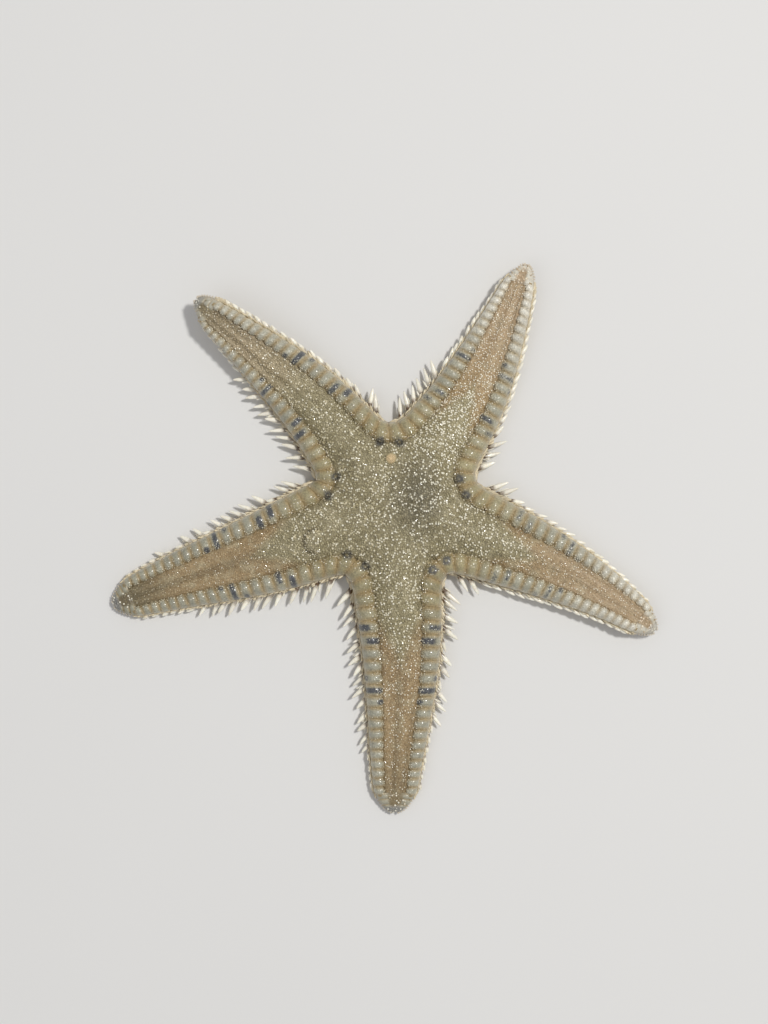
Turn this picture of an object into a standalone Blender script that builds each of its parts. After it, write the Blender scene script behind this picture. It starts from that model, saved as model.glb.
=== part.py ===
"""Life-size sand star, resting on its underside with three arm tips a little raised.

Every node is placed by one map: a distance along an arm, an offset to the arm's left and a height.
The arm turns in plan, and its end may lift and roll, so all the nodes of an arm follow it alike.
Metres, +Z up, the floor at z = 0, and the origin on the floor under the middle of the animal.
"""

import math
import random

import bmesh
import bpy
from mathutils import Vector

MM = 0.001
UP = Vector((0, 0, 1))

# Clearance between nodes that touch, and how deep a fused root is sunk
GAP = 0.3 * MM
ROOT_SINK = 0.45 * MM

# The disc: where its centre lies, and how far from it the arms part
DISC_CENTRE = Vector((1.5, 4.4, 0)) * MM
CORNER_REACH = 12.0 * MM
INNER_CORNER_REACH = 9.0 * MM
ARM_CUT = 13.2 * MM
ROOF_HEIGHT = 6.5 * MM

# The arms: where they start to bend and to rise, and how they narrow
BEND_START = 9.5 * MM
RISE_START = 15.0 * MM
BOW_SKEW = 0.7
TAPER_POWER = 1.3
TIP_ROUNDING = 4.0 * MM
TIP_LENGTH = 2.5 * MM
OUTER_FILLET = 0.75 * MM
INNER_FILLET = 1.4 * MM

# The marginal plates: two rows, one over the other, that border each arm
PLATES_PER_SIDE = 20
PLATE_WIDTH_ROOT = 3.15 * MM
PLATE_WIDTH_END = 1.6 * MM
PLATE_MOST_SHARE = 0.5
PLATE_LENGTH_ROOT = 1.75
PLATE_LENGTH_END = 1.0
PLATE_FAN = 2.5 * MM
CROWN_ROOT = 5.0 * MM
CROWN_END = 2.3 * MM

# A section through both rows, on a plate's crown and in the groove between two plates, from the
# inner top edge round the outside to the underside: (share of the row's width, share of its height)
PLATE_SECTION = (
    (0.00, 0.86), (0.30, 1.00), (0.66, 0.96), (0.90, 0.74), (0.96, 0.52), (0.93, 0.45),
    (1.04, 0.33), (0.88, 0.0), (0.00, 0.0),
)
GROOVE_SECTION = (
    (0.00, 0.80), (0.28, 0.87), (0.58, 0.83), (0.78, 0.66), (0.84, 0.50), (0.84, 0.44),
    (0.88, 0.33), (0.74, 0.10), (0.00, 0.10),
)
SPINE_LEVEL = 0.39

# The roof over the arm, and the furrow under it
ROOF_COLUMNS = 8
EDGE_SHARE = 0.91
BULGE = 1.85 * MM
BULGE_POWER = 1.5
FURROW_HALF_ROOT = 1.5 * MM
FURROW_HALF_END = 0.55 * MM
FURROW_MOST_SHARE = 0.6
FURROW_DEPTH_ROOT = 2.0 * MM
FURROW_DEPTH_END = 0.7 * MM
FURROW_SHOULDER = (0.6, 0.85)
DISC_RINGS = (0.25, 0.5, 0.76)
ARM_RINGS = 10

# The mouth, in a pit under the disc
MOUTH_REACH = 3.7 * MM
PIT_HEIGHT = 2.4 * MM
MEMBRANE_LOW = 1.55 * MM
JAW_CLEAR_OF_FLOOR = 0.25 * MM
JAW_TIP = 0.9 * MM
JAW_WIDEST_AT = 2.4 * MM
JAW_WIDTHS = (0.35 * MM, 0.62 * MM, 0.22 * MM)
TOOTH_WIDTH = 0.5 * MM
# Root and tip of a tooth: outwards from the mouth's middle, across the jaw, and up from the floor
TOOTH_ROOT = (1.3 * MM, 0.18 * MM, 0.75 * MM)
TOOTH_TIP = (0.45 * MM, 0.26 * MM, 0.35 * MM)
TOOTH_STAGES = ((0, 1), (1, 0.3))

# The sieve plate, between the two upper arms
SIEVE_PLATE_AT = Vector((-0.7, 6.75, 0)) * MM
SIEVE_PLATE_RADIUS = 0.95 * MM
SIEVE_PLATE_RISE = 0.35 * MM
SIEVE_PLATE_DEPTH = 0.9 * MM
SIEVE_PLATE_SIDES = 12

# Spines on the lower marginal plates: they stand out near the disc and fold along the arm further out
SPINE_LENGTH_ROOT = 3.2 * MM
SPINE_LENGTH_END = 1.2 * MM
SPINE_WIDTH = 0.66 * MM
SPINE_THICKNESS = 0.52 * MM
SPINE_NARROWING = 0.22
SPINE_SIDES = 4
FOLDED_SHARE = 0.75
STANDING_SHARE = 0.88
STANDING_SWEEP = (30, 48)
FOLDED_SWEEP = (66, 74)
SPINE_DIP = (-4, 12)
SPINE_VARIES = (0.88, 1.08)
STANDING_STAGES = ((0, 1), (0.55, 0.86), (1, 0.2))
FOLDED_STAGES = ((0, 1), (1, 0.4))

# Tube feet, in two rows in each furrow, from the mouth to the arm's tip
FOOT_PITCH = 2.7 * MM
FIRST_FOOT = 4.4 * MM
FOOT_STAGGER = 0.2
FOOT_ROOT_SHARE = 0.5
FOOT_TIP_SHARE = 0.42
FOOT_SIDES = 4
FOOT_RADIUS = 0.36 * MM
FOOT_NARROWING = 0.2
FOOT_CLEAR_OF_FLOOR = 0.2 * MM
FOOT_LEAN = 0.25 * MM
FOOT_STAGES = ((0, 1), (1, 0.3))

# The section of the plate that closes an arm, over its top and back under it, with a notch for the
# furrow: (share of the half width, share of the crown)
TIP_SECTION = (
    (-1.0, 0.36), (-0.9, 0.78), (-0.5, 1.0), (0.0, 0.95), (0.5, 1.0), (0.9, 0.78), (1.0, 0.36),
    (0.8, 0.0), (0.32, 0.0), (0.0, 0.28), (-0.32, 0.0), (-0.8, 0.0),
)
TIP_RINGS = 4
TIP_END_HEIGHT = 0.42

SKIN_COLOUR = (0.36, 0.33, 0.24)
PLATE_COLOUR = (0.46, 0.46, 0.39)
TIP_COLOUR = (0.40, 0.45, 0.50)
SIEVE_PLATE_COLOUR = (0.62, 0.46, 0.28)
MOUTH_COLOUR = (0.72, 0.64, 0.48)


def share(value, low, high):
    """How far value is on the way from low to high, kept between 0 and 1."""
    return min(1.0, max(0.0, (value - low) / (high - low)))


def smooth(t):
    return t * t * (3 - 2 * t)


def mix(a, b, t):
    return a + (b - a) * t


def heading_vector(angle):
    return Vector((math.cos(angle), math.sin(angle), 0))


class Arm:
    """One arm, from the disc's centre to its tip.

    first and second are the directions, in degrees, of the corners on its right and left.
    root and end are its half widths. turn, lift and roll say how its end differs from a straight
    flat one, and a roll above 0 raises its left side. bow is how far its middle swings out to the
    left. open_left and open_right give the share of the arm along which spines stand out.
    """

    def __init__(
        self, name, first, second, length, turn, lift, roll, bow, root, end, open_left, open_right
    ):
        self.name = name
        self.heading = math.radians((first + second) / 2)
        self.half_angle = math.radians((second - first) / 2)
        self.length = length * MM
        self.turn = math.radians(turn)
        self.lift = lift * MM
        self.roll = math.radians(roll)
        self.bow = bow * MM
        self.root = root * MM
        self.end = end * MM
        self.open_share = {1: open_left, -1: open_right}
        self.corner_s = CORNER_REACH * math.cos(self.half_angle)
        self.inner_s = INNER_CORNER_REACH * math.cos(self.half_angle)
        self.core_s = (INNER_CORNER_REACH - GAP) * math.cos(self.half_angle)
        self.plates_end = self.length - TIP_LENGTH

    def along(self, s):
        return share(s, self.corner_s, self.length)

    def plain_width(self, s):
        return mix(self.root, self.end, self.along(s) ** TAPER_POWER)

    def plate_width(self, s):
        width = mix(PLATE_WIDTH_ROOT, PLATE_WIDTH_END, self.along(s))
        return min(width, PLATE_MOST_SHARE * self.plain_width(s))

    def outer_width(self, s):
        """Half width over the marginal plates, with the fillet at the corner and the round tip."""
        corner = CORNER_REACH * math.sin(self.half_angle) - self.root
        fillet = corner * math.exp(-(s - self.corner_s) / OUTER_FILLET)
        past = share(s, self.length - TIP_ROUNDING, self.length)
        return (self.plain_width(s) + fillet) * math.sqrt(1 - past * past)

    def side_line(self, s, corner_reach, inset):
        """Half width inside the marginal plates, less inset, through the corner at corner_reach."""
        corner_s = corner_reach * math.cos(self.half_angle)
        if s < corner_s:
            return s * math.tan(self.half_angle)
        straight = self.plain_width(corner_s) - self.plate_width(corner_s) - inset
        corner = corner_reach * math.sin(self.half_angle) - straight
        fillet = corner * math.exp(-(s - corner_s) / INNER_FILLET)
        return self.plain_width(s) - self.plate_width(s) - inset + fillet

    def inner_width(self, s):
        return self.side_line(s, INNER_CORNER_REACH, 0)

    def core_width(self, s):
        return self.side_line(s, INNER_CORNER_REACH - GAP, GAP)

    def crown(self, s):
        """Height of the upper marginal plates."""
        return mix(CROWN_ROOT, CROWN_END, self.along(s))

    def roof(self, s, v):
        """Height of the upper skin at v, from -1 on the right edge to 1 on the left one."""
        edge = EDGE_SHARE * self.crown(s)
        middle = edge + BULGE * (1 - s / self.length) ** BULGE_POWER
        if s < self.core_s:
            reach = s / self.core_s
            edge = mix(ROOF_HEIGHT, edge, reach * reach)
        in_disc = 0.5 + 0.5 * math.cos(math.pi * v)
        in_arm = 1 - v * v
        return mix(edge, middle, mix(in_disc, in_arm, smooth(share(s, self.core_s, ARM_CUT))))

    def furrow_half(self, s):
        half = mix(FURROW_HALF_ROOT, FURROW_HALF_END, s / self.length)
        return min(half, FURROW_MOST_SHARE * self.core_width(s))

    def furrow_depth(self, s):
        return mix(FURROW_DEPTH_ROOT, FURROW_DEPTH_END, s / self.length)

    def place(self, s, a, z):
        """The point at distance s along the arm, offset a to its left, height z."""
        turned = self.turn * max(0.0, s - BEND_START) / (self.length - BEND_START)
        radius = (self.length - BEND_START) / self.turn
        ahead, left = heading_vector(self.heading), heading_vector(self.heading + math.pi / 2)
        point = DISC_CENTRE + ahead * (min(s, BEND_START) + radius * math.sin(turned))
        point += left * radius * (1 - math.cos(turned))
        rise = share(s, RISE_START, self.length)
        roll = self.roll * smooth(rise)
        level = heading_vector(self.heading + turned + math.pi / 2)
        sideways = level * math.cos(roll) + UP * math.sin(roll)
        upwards = UP * math.cos(roll) - level * math.sin(roll)
        clear = self.plain_width(s) * abs(math.sin(roll))
        swing = math.sin(math.pi * share(s, self.corner_s, self.length) ** BOW_SKEW) ** 2
        point += level * (self.bow * swing)
        return point + sideways * a + upwards * z + UP * (self.lift * rise * rise + clear)


ARMS = (
    Arm("upper_right", 17.0, 95.3, 38.7, 13.8, 1.6, -10, -0.3, 6.35, 1.7, open_left=0.35, open_right=0.25),
    Arm("upper_left", 95.3, 161.6, 40.3, 13.0, 2.6, -26, -0.3, 5.9, 1.9, open_left=0.6, open_right=0.12),
    Arm("left", 161.6, 233.1, 42.1, 4.5, 0.0, 0, 0.5, 6.8, 2.4, open_left=0.62, open_right=0.75),
    Arm("lower", 233.1, 307.3, 43.0, -1.0, 0.0, 0, 0.68, 6.4, 2.7, open_left=0.6, open_right=0.75),
    Arm("right", 307.3, 377.0, 40.6, -20.6, 0.8, -9, -0.2, 6.35, 1.9, open_left=0.12, open_right=0.15),
)


def plate_line(arm, s):
    """(s, a) of the inner and of the outer end of the line across the plates at s.

    The lines fan out round the corner between two arms, and lie square to the arm further out.
    """
    middle = (arm.corner_s + arm.inner_s) / 2
    lean = (arm.corner_s - arm.inner_s) / 2 * math.exp(-(s - middle) / PLATE_FAN)
    inner_s, outer_s = s - lean, s + lean
    return (inner_s, arm.inner_width(inner_s)), (outer_s, arm.outer_width(outer_s))


def plate_stations(arm, steps=600):
    """Where the grooves and the crowns lie, alternately, spaced along the middle of the row."""
    start = (arm.corner_s + arm.inner_s) / 2
    points = []
    for k in range(steps + 1):
        s = mix(start, arm.plates_end, k / steps)
        inner, outer = plate_line(arm, s)
        points.append((s, (Vector(inner) + Vector(outer)) / 2))
    walked = [0.0]
    for before, after in zip(points, points[1:]):
        walked.append(walked[-1] + (after[1] - before[1]).length)
    halves = []
    for k in range(2 * PLATES_PER_SIDE):
        halves.append(mix(PLATE_LENGTH_ROOT, PLATE_LENGTH_END, k / (2 * PLATES_PER_SIDE - 1)))
    scale = walked[-1] / sum(halves)
    stations = [start]
    target = 0.0
    k = 0
    for half in halves[:-1]:
        target += half * scale
        while walked[k] < target:
            k += 1
        stations.append(points[k][0])
    stations.append(arm.plates_end)
    return stations


def new_object(name, bm):
    bmesh.ops.recalc_face_normals(bm, faces=bm.faces)
    if bm.calc_volume(signed=True) < 0:
        bmesh.ops.reverse_faces(bm, faces=bm.faces)
    mesh = bpy.data.meshes.new(name)
    bm.to_mesh(mesh)
    bm.free()
    made = bpy.data.objects.new(name, mesh)
    bpy.context.scene.collection.objects.link(made)
    return made


def loft(name, rings):
    """A closed body through rings of points, each ring a closed loop of as many points."""
    bm = bmesh.new()
    loops = [[bm.verts.new(p) for p in ring] for ring in rings]
    count = len(loops[0])
    for before, after in zip(loops, loops[1:]):
        for k in range(count):
            bm.faces.new((before[k], before[(k + 1) % count], after[(k + 1) % count], after[k]))
    bm.faces.new(reversed(loops[0]))
    bm.faces.new(loops[-1])
    return new_object(name, bm)


def keep_largest_body(made):
    """Drops every closed surface of the mesh but the largest."""
    bm = bmesh.new()
    bm.from_mesh(made.data)
    left = set(bm.faces)
    bodies = []
    while left:
        body = set()
        edge = {left.pop()}
        while edge:
            body |= edge
            edge = {f for g in edge for e in g.edges for f in e.link_faces} - body
        left -= body
        bodies.append(body)
    bodies.sort(key=lambda body: sum(f.calc_area() for f in body))
    loose = [f for body in bodies[:-1] for f in body]
    bmesh.ops.delete(bm, geom=loose, context="FACES")
    bm.to_mesh(made.data)
    bm.free()


def apply_boolean(made, operation, pieces):
    """Joins or cuts made with pieces, which are then removed."""
    group = bpy.data.collections.new(made.name + "_pieces")
    bpy.context.scene.collection.children.link(group)
    for piece in pieces:
        bpy.context.scene.collection.objects.unlink(piece)
        group.objects.link(piece)
    modifier = made.modifiers.new("pieces", "BOOLEAN")
    modifier.operation = operation
    modifier.operand_type = "COLLECTION"
    modifier.collection = group
    modifier.solver = "EXACT"
    graph = bpy.context.evaluated_depsgraph_get()
    joined = bpy.data.meshes.new_from_object(made.evaluated_get(graph))
    made.modifiers.clear()
    made.data = joined
    for piece in list(group.objects):
        bpy.data.objects.remove(piece)
    bpy.data.collections.remove(group)
    keep_largest_body(made)


def finish(made, origin, colour, roughness):
    """Puts the node's origin at a point of its own, and gives it its material."""
    offset = Vector(origin)
    for vertex in made.data.vertices:
        vertex.co -= offset
    made.location = offset
    material = bpy.data.materials.new(made.name)
    material.use_nodes = True
    shader = material.node_tree.nodes["Principled BSDF"]
    shader.inputs["Base Color"].default_value = (*colour, 1)
    shader.inputs["Roughness"].default_value = roughness
    shader.inputs["Metallic"].default_value = 0
    made.data.materials.clear()
    made.data.materials.append(material)
    made.data.shade_smooth()
    made.data.set_sharp_from_angle(angle=math.radians(50))
    return made


def top_row(arm, s):
    """The roof from right to left."""
    width = arm.core_width(s)
    shares = [2 * k / ROOF_COLUMNS - 1 for k in range(ROOF_COLUMNS + 1)]
    return [arm.place(s, v * width, arm.roof(s, v)) for v in shares]


def bottom_row(arm, s, lowest=0.0):
    """The underside from right to left: a flat on each side of the furrow."""
    width, half, depth = arm.core_width(s), arm.furrow_half(s), arm.furrow_depth(s)
    shoulder = (FURROW_SHOULDER[0] * half, FURROW_SHOULDER[1] * depth)
    profile = ((width, 0), (half, 0), shoulder, (0, depth))
    row = [(-a, z) for a, z in profile] + [(a, z) for a, z in profile[-2::-1]]
    return [arm.place(s, a, max(z, lowest)) for a, z in row]


def strip(bm, before, after):
    for k in range(len(before) - 1):
        bm.faces.new((before[k], before[k + 1], after[k + 1], after[k]))


def taper(name, root, tip, size, thin_along, sides, stages):
    """A spine, tooth or foot from root to tip, with an oval section that is thin along thin_along.

    size is its width and thickness, and stages are (share of the length, share of the size).
    """
    axis = (tip - root).normalized()
    thin = (thin_along - axis * thin_along.dot(axis)).normalized() * size[1] / 2
    wide = axis.cross(thin.normalized()) * size[0] / 2
    rings = []
    for along, narrowing in stages:
        ring = []
        for k in range(sides):
            angle = math.tau * (k + 0.5) / sides
            offset = wide * math.cos(angle) + thin * math.sin(angle)
            ring.append(root.lerp(tip, along) + offset * narrowing)
        rings.append(ring)
    return loft(name, rings)


def tube_feet(arm, start, stop):
    """Two staggered rows of feet that hang from the furrow's roof between start and stop."""
    count = round((stop - start) / FOOT_PITCH)
    pitch = (stop - start) / count
    feet = []
    for k in range(count):
        for side in (-1, 1):
            s = start + pitch * (k + 0.5 + FOOT_STAGGER * side)
            half = arm.furrow_half(s)
            height = FURROW_SHOULDER[1] * arm.furrow_depth(s) + ROOT_SINK
            root = arm.place(s, side * FOOT_ROOT_SHARE * half, height)
            tip = arm.place(s + FOOT_LEAN, side * FOOT_TIP_SHARE * half, FOOT_CLEAR_OF_FLOOR)
            width = 2 * FOOT_RADIUS * (1 - FOOT_NARROWING * s / arm.length)
            thin_along = heading_vector(arm.heading)
            feet.append(taper("foot", root, tip, (width, width), thin_along, FOOT_SIDES, FOOT_STAGES))
    return feet


def build_disc():
    """The disc's core: its roof, its flat underside with five furrows, and the pit for the mouth."""
    bm = bmesh.new()
    inner_reach = INNER_CORNER_REACH - GAP
    floor_rings = (MOUTH_REACH / inner_reach, 0.7)
    for arm in ARMS:
        outside = [mix(arm.core_s, ARM_CUT - GAP / 2, k / 3) for k in range(4)]
        inside = [arm.core_s * reach for reach in DISC_RINGS]
        tops = [[bm.verts.new(p) for p in top_row(arm, s)] for s in inside + outside]
        centre = bm.verts.new(arm.place(0, 0, ROOF_HEIGHT))
        for k in range(ROOF_COLUMNS):
            bm.faces.new((centre, tops[0][k], tops[0][k + 1]))
        for before, after in zip(tops, tops[1:]):
            strip(bm, before, after)
        inside = [arm.core_s * reach for reach in floor_rings]
        floors = [[bm.verts.new(p) for p in bottom_row(arm, s)] for s in inside + outside]
        for before, after in zip(floors, floors[1:]):
            strip(bm, after, before)
        for side in (0, -1):
            strip(bm, [row[side] for row in tops[-4:]], [row[side] for row in floors[-4:]])
        bm.faces.new(tops[-1] + floors[-1][::-1])
        pit = [bm.verts.new(p) for p in bottom_row(arm, inside[0], lowest=PIT_HEIGHT)]
        strip(bm, floors[0], pit)
    bmesh.ops.remove_doubles(bm, verts=bm.verts, dist=0.002 * MM)
    bmesh.ops.contextual_create(bm, geom=[e for e in bm.edges if e.is_boundary])
    made = new_object("disc", bm)
    feet = []
    for arm in ARMS:
        feet += tube_feet(arm, FIRST_FOOT, ARM_CUT - GAP / 2)
    apply_boolean(made, "UNION", feet)
    return made


def turned_body(name, base, profile, sides):
    """A round body about the upright line through base, from (radius, height) pairs, bottom to top."""
    rings = []
    for radius, height in profile:
        ring = []
        for k in range(sides):
            ring.append(base + heading_vector(math.tau * k / sides) * radius + UP * height)
        rings.append(ring)
    return loft(name, rings)


def build_sieve_plate(disc):
    """The sieve plate as a button, in a pocket that is cut for it in the disc."""
    arm = ARMS[0]
    on_corner_line = SIEVE_PLATE_AT.length * math.cos(arm.half_angle)
    base = DISC_CENTRE + SIEVE_PLATE_AT + UP * arm.roof(on_corner_line, 1)
    pocket_radius = SIEVE_PLATE_RADIUS + GAP
    pocket = ((pocket_radius, -SIEVE_PLATE_DEPTH - GAP), (pocket_radius, 2 * SIEVE_PLATE_DEPTH))
    apply_boolean(disc, "DIFFERENCE", [turned_body("pocket", base, pocket, SIEVE_PLATE_SIDES)])
    button = (
        (SIEVE_PLATE_RADIUS, -SIEVE_PLATE_DEPTH),
        (SIEVE_PLATE_RADIUS, 0.3 * SIEVE_PLATE_RISE),
        (0.75 * SIEVE_PLATE_RADIUS, 0.85 * SIEVE_PLATE_RISE),
        (0.35 * SIEVE_PLATE_RADIUS, SIEVE_PLATE_RISE),
    )
    made = turned_body("sieve_plate", base, button, SIEVE_PLATE_SIDES)
    return finish(made, base, SIEVE_PLATE_COLOUR, 0.5)


def build_mouth():
    """The thin skin over the mouth, and five jaws that hang from it and point inwards."""
    rings = []
    for z in (MEMBRANE_LOW, PIT_HEIGHT - GAP):
        ring = []
        for arm in ARMS:
            s = MOUTH_REACH * math.cos(arm.half_angle) - GAP
            ring += [arm.place(s, v * s * math.tan(arm.half_angle), z) for v in (-1, 0)]
        rings.append(ring)
    made = loft("mouth", rings)
    reaches = (MOUTH_REACH - 2 * GAP, JAW_WIDEST_AT, JAW_TIP)
    plan = list(zip(reaches, JAW_WIDTHS))
    plan += [(reach, -width) for reach, width in reversed(plan)]
    jaws = []
    for arm in ARMS:
        corner = arm.heading + arm.half_angle
        out, across = heading_vector(corner), heading_vector(corner + math.pi / 2)
        rings = []
        for z, narrowing in ((JAW_CLEAR_OF_FLOOR, 0.8), (MEMBRANE_LOW + GAP, 1.0)):
            base = DISC_CENTRE + UP * z
            rings.append([base + out * reach + across * width * narrowing for reach, width in plan])
        jaws.append(loft("jaw", rings))
        for side in (-1, 1):
            ends = []
            for reach, aside, height in (TOOTH_ROOT, TOOTH_TIP):
                ends.append(DISC_CENTRE + out * reach + across * side * aside + UP * height)
            jaws.append(taper("tooth", *ends, (TOOTH_WIDTH, TOOTH_WIDTH), UP, 4, TOOTH_STAGES))
    apply_boolean(made, "UNION", jaws)
    return finish(made, DISC_CENTRE, MOUTH_COLOUR, 0.5)


def build_arm(arm):
    """The arm's core: roof, flat underside and furrow, with two rows of tube feet in the furrow."""
    start, stop = ARM_CUT + GAP / 2, arm.plates_end - GAP / 2
    rings = []
    for k in range(ARM_RINGS):
        s = mix(start, stop, k / (ARM_RINGS - 1))
        rings.append(top_row(arm, s) + bottom_row(arm, s)[::-1])
    made = loft("arm_" + arm.name, rings)
    apply_boolean(made, "UNION", tube_feet(arm, start, stop))
    return finish(made, arm.place(start, 0, 0), SKIN_COLOUR, 0.6)


def margin_ring(arm, side, s, section):
    inner, outer = plate_line(arm, s)
    points = []
    for across, up in section:
        at, offset = Vector(inner).lerp(Vector(outer), across)
        points.append(arm.place(at, side * offset, up * arm.crown(s)))
    return points


def spine_frame(arm, side, s):
    """The root of the spine at s, and the directions out of the arm and along it there."""
    outer = plate_line(arm, s)[1][0]
    height = SPINE_LEVEL * arm.crown(s)
    root = arm.place(outer, side * arm.outer_width(outer), height)
    step = 0.2 * MM
    along = arm.place(outer + step, side * arm.outer_width(outer + step), height) - root
    outward = along.cross(UP) * -side
    return root, outward.normalized(), along.normalized()


def margin_spine(arm, side, k, s, draw):
    """The spine of the kth lower plate, whose crown is at s."""
    root, outward, along = spine_frame(arm, side, s)
    way_out = k / PLATES_PER_SIDE
    stands = way_out < arm.open_share[side] and draw.random() < STANDING_SHARE
    sweep = math.radians(draw.uniform(*(STANDING_SWEEP if stands else FOLDED_SWEEP)))
    dip = math.radians(draw.uniform(*SPINE_DIP))
    length = mix(SPINE_LENGTH_ROOT, SPINE_LENGTH_END, way_out) * draw.uniform(*SPINE_VARIES)
    if not stands:
        length *= FOLDED_SHARE
    level = outward * math.cos(sweep) + along * math.sin(sweep)
    tip = root + (level * math.cos(dip) - UP * math.sin(dip)) * length
    scale = mix(1.0, 1 - SPINE_NARROWING, way_out)
    size = (SPINE_WIDTH * scale, SPINE_THICKNESS * scale)
    stages = STANDING_STAGES if stands else FOLDED_STAGES
    return taper("spine", root - outward * ROOT_SINK, tip, size, UP, SPINE_SIDES, stages)


def build_margin(arm, side):
    """Both rows of marginal plates along one side of an arm, with a spine on each lower plate."""
    word = "left" if side > 0 else "right"
    stations = plate_stations(arm)
    corner = arm.heading + side * arm.half_angle
    away = heading_vector(corner - side * math.pi / 2) * (GAP / 2)
    rings = [[p + away for p in margin_ring(arm, side, stations[0], GROOVE_SECTION)]]
    for k, s in enumerate(stations[1:-1], start=1):
        rings.append(margin_ring(arm, side, s, PLATE_SECTION if k % 2 else GROOVE_SECTION))
    rings.append(margin_ring(arm, side, stations[-1] - GAP / 2, GROOVE_SECTION))
    made = loft(f"margin_{arm.name}_{word}", rings)
    draw = random.Random(f"{arm.name} {word}")
    spines = []
    for k in range(1, PLATES_PER_SIDE - 1):
        spines.append(margin_spine(arm, side, k, stations[2 * k + 1], draw))
    apply_boolean(made, "UNION", spines)
    origin = arm.place(arm.corner_s, side * arm.outer_width(arm.corner_s), 0)
    return finish(made, origin, PLATE_COLOUR, 0.4)


def build_tip(arm):
    """The terminal plate that closes the arm."""
    start, stop = arm.plates_end + GAP / 2, arm.length - 0.02 * MM
    rings = []
    for k in range(TIP_RINGS + 1):
        s = mix(start, stop, math.sin(k / TIP_RINGS * math.pi / 2))
        width = arm.outer_width(s)
        height = arm.crown(s) * mix(TIP_END_HEIGHT, 1.0, width / arm.outer_width(start))
        rings.append([arm.place(s, a * width, z * height) for a, z in TIP_SECTION])
    made = loft("tip_" + arm.name, rings)
    return finish(made, arm.place(start, 0, 0), TIP_COLOUR, 0.35)


def main():
    for old in list(bpy.data.objects):
        bpy.data.objects.remove(old)
    disc = build_disc()
    nodes = [build_sieve_plate(disc), finish(disc, DISC_CENTRE, SKIN_COLOUR, 0.6), build_mouth()]
    for arm in ARMS:
        nodes += [build_arm(arm), build_tip(arm), build_margin(arm, 1), build_margin(arm, -1)]
    animal = bpy.data.objects.new("sand_star", None)
    bpy.context.scene.collection.objects.link(animal)
    for node in nodes:
        node.parent = animal


main()
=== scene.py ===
"""Sand star, life size: the finish of every surface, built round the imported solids.

One map places every piece: a distance along an arm, an offset to the arm's left and a height.
Metres, +Z up, the floor at z = 0.
"""

import math
import random

import bmesh
import bpy
import numpy as np
from bpy.props import FloatProperty, FloatVectorProperty, IntProperty, PointerProperty
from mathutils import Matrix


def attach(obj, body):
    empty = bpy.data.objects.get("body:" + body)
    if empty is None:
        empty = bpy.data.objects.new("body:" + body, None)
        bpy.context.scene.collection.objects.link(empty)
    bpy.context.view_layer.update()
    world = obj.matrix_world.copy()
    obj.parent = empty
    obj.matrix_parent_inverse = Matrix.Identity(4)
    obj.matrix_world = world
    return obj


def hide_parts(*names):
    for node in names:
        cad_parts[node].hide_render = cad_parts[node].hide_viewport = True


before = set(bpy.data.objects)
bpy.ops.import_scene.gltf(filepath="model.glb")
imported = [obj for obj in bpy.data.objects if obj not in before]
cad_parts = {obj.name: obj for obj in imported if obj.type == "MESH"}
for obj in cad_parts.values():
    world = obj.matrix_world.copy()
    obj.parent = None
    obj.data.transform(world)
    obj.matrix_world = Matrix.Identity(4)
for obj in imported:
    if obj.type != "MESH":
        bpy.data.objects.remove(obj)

bl_info = {
    "name": "Sand star",
    "version": (1, 0, 0),
    "blender": (4, 5, 0),
    "location": "View3D > Sidebar > Sand star",
    "description": "Builds a life-size sand star: skin, grains, plates, spines, feet and mouth",
    "category": "Add Mesh",
}

MM = 0.001
UP = np.array((0.0, 0.0, 1.0))
BODY = "root"

# The plan of the animal, as its solids have it
GAP = 0.3 * MM
DISC_CENTRE = np.array((1.5, 4.4, 0.0)) * MM
CORNER_REACH = 12.0 * MM
INNER_CORNER_REACH = 9.0 * MM
ARM_CUT = 13.2 * MM
ROOF_HEIGHT = 6.5 * MM
BEND_START = 9.5 * MM
RISE_START = 15.0 * MM
BOW_SKEW = 0.7
TAPER_POWER = 1.3
TIP_ROUNDING = 4.0 * MM
TIP_LENGTH = 2.5 * MM
OUTER_FILLET = 0.75 * MM
INNER_FILLET = 1.4 * MM
PLATES_PER_SIDE = 20
PLATE_WIDTH_ROOT = 3.15 * MM
PLATE_WIDTH_END = 1.6 * MM
PLATE_MOST_SHARE = 0.5
PLATE_LENGTH_ROOT = 1.75
PLATE_LENGTH_END = 1.0
PLATE_FAN = 2.5 * MM
CROWN_ROOT = 5.0 * MM
CROWN_END = 2.3 * MM
EDGE_SHARE = 0.91
BULGE = 1.85 * MM
BULGE_POWER = 1.5
FURROW_HALF_ROOT = 1.5 * MM
FURROW_HALF_END = 0.55 * MM
FURROW_DEPTH_ROOT = 2.0 * MM
FURROW_DEPTH_END = 0.7 * MM
MOUTH_REACH = 3.7 * MM
PIT_HEIGHT = 2.4 * MM
SIEVE_PLATE_AT = np.array((-0.7, 6.75, 0.0)) * MM

# The spines on the lower plates, as the solids have them
SPINE_LEVEL = 0.39
SPINE_LENGTH_ROOT = 3.2 * MM
SPINE_LENGTH_END = 1.2 * MM
SPINE_NARROWING = 0.22
SPINE_VARIES = (0.88, 1.08)
FOLDED_SHARE = 0.75
STANDING_SHARE = 0.88
STANDING_SWEEP = (30, 48)
FOLDED_SWEEP = (66, 74)
SPINE_DIP = (-4, 12)


def share(value, low, high):
    """How far value is on the way from low to high, kept between 0 and 1."""
    return np.clip((value - low) / (high - low), 0.0, 1.0)


def smooth(t):
    return t * t * (3 - 2 * t)


def mix(a, b, t):
    return a + (b - a) * t


def unit(vectors):
    vectors = np.asarray(vectors, float)
    return vectors / np.maximum(np.linalg.norm(vectors, axis=-1, keepdims=True), 1e-12)


def heading_vector(angle):
    angle = np.asarray(angle, float)
    return np.stack((np.cos(angle), np.sin(angle), np.zeros_like(angle)), axis=-1)


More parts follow.
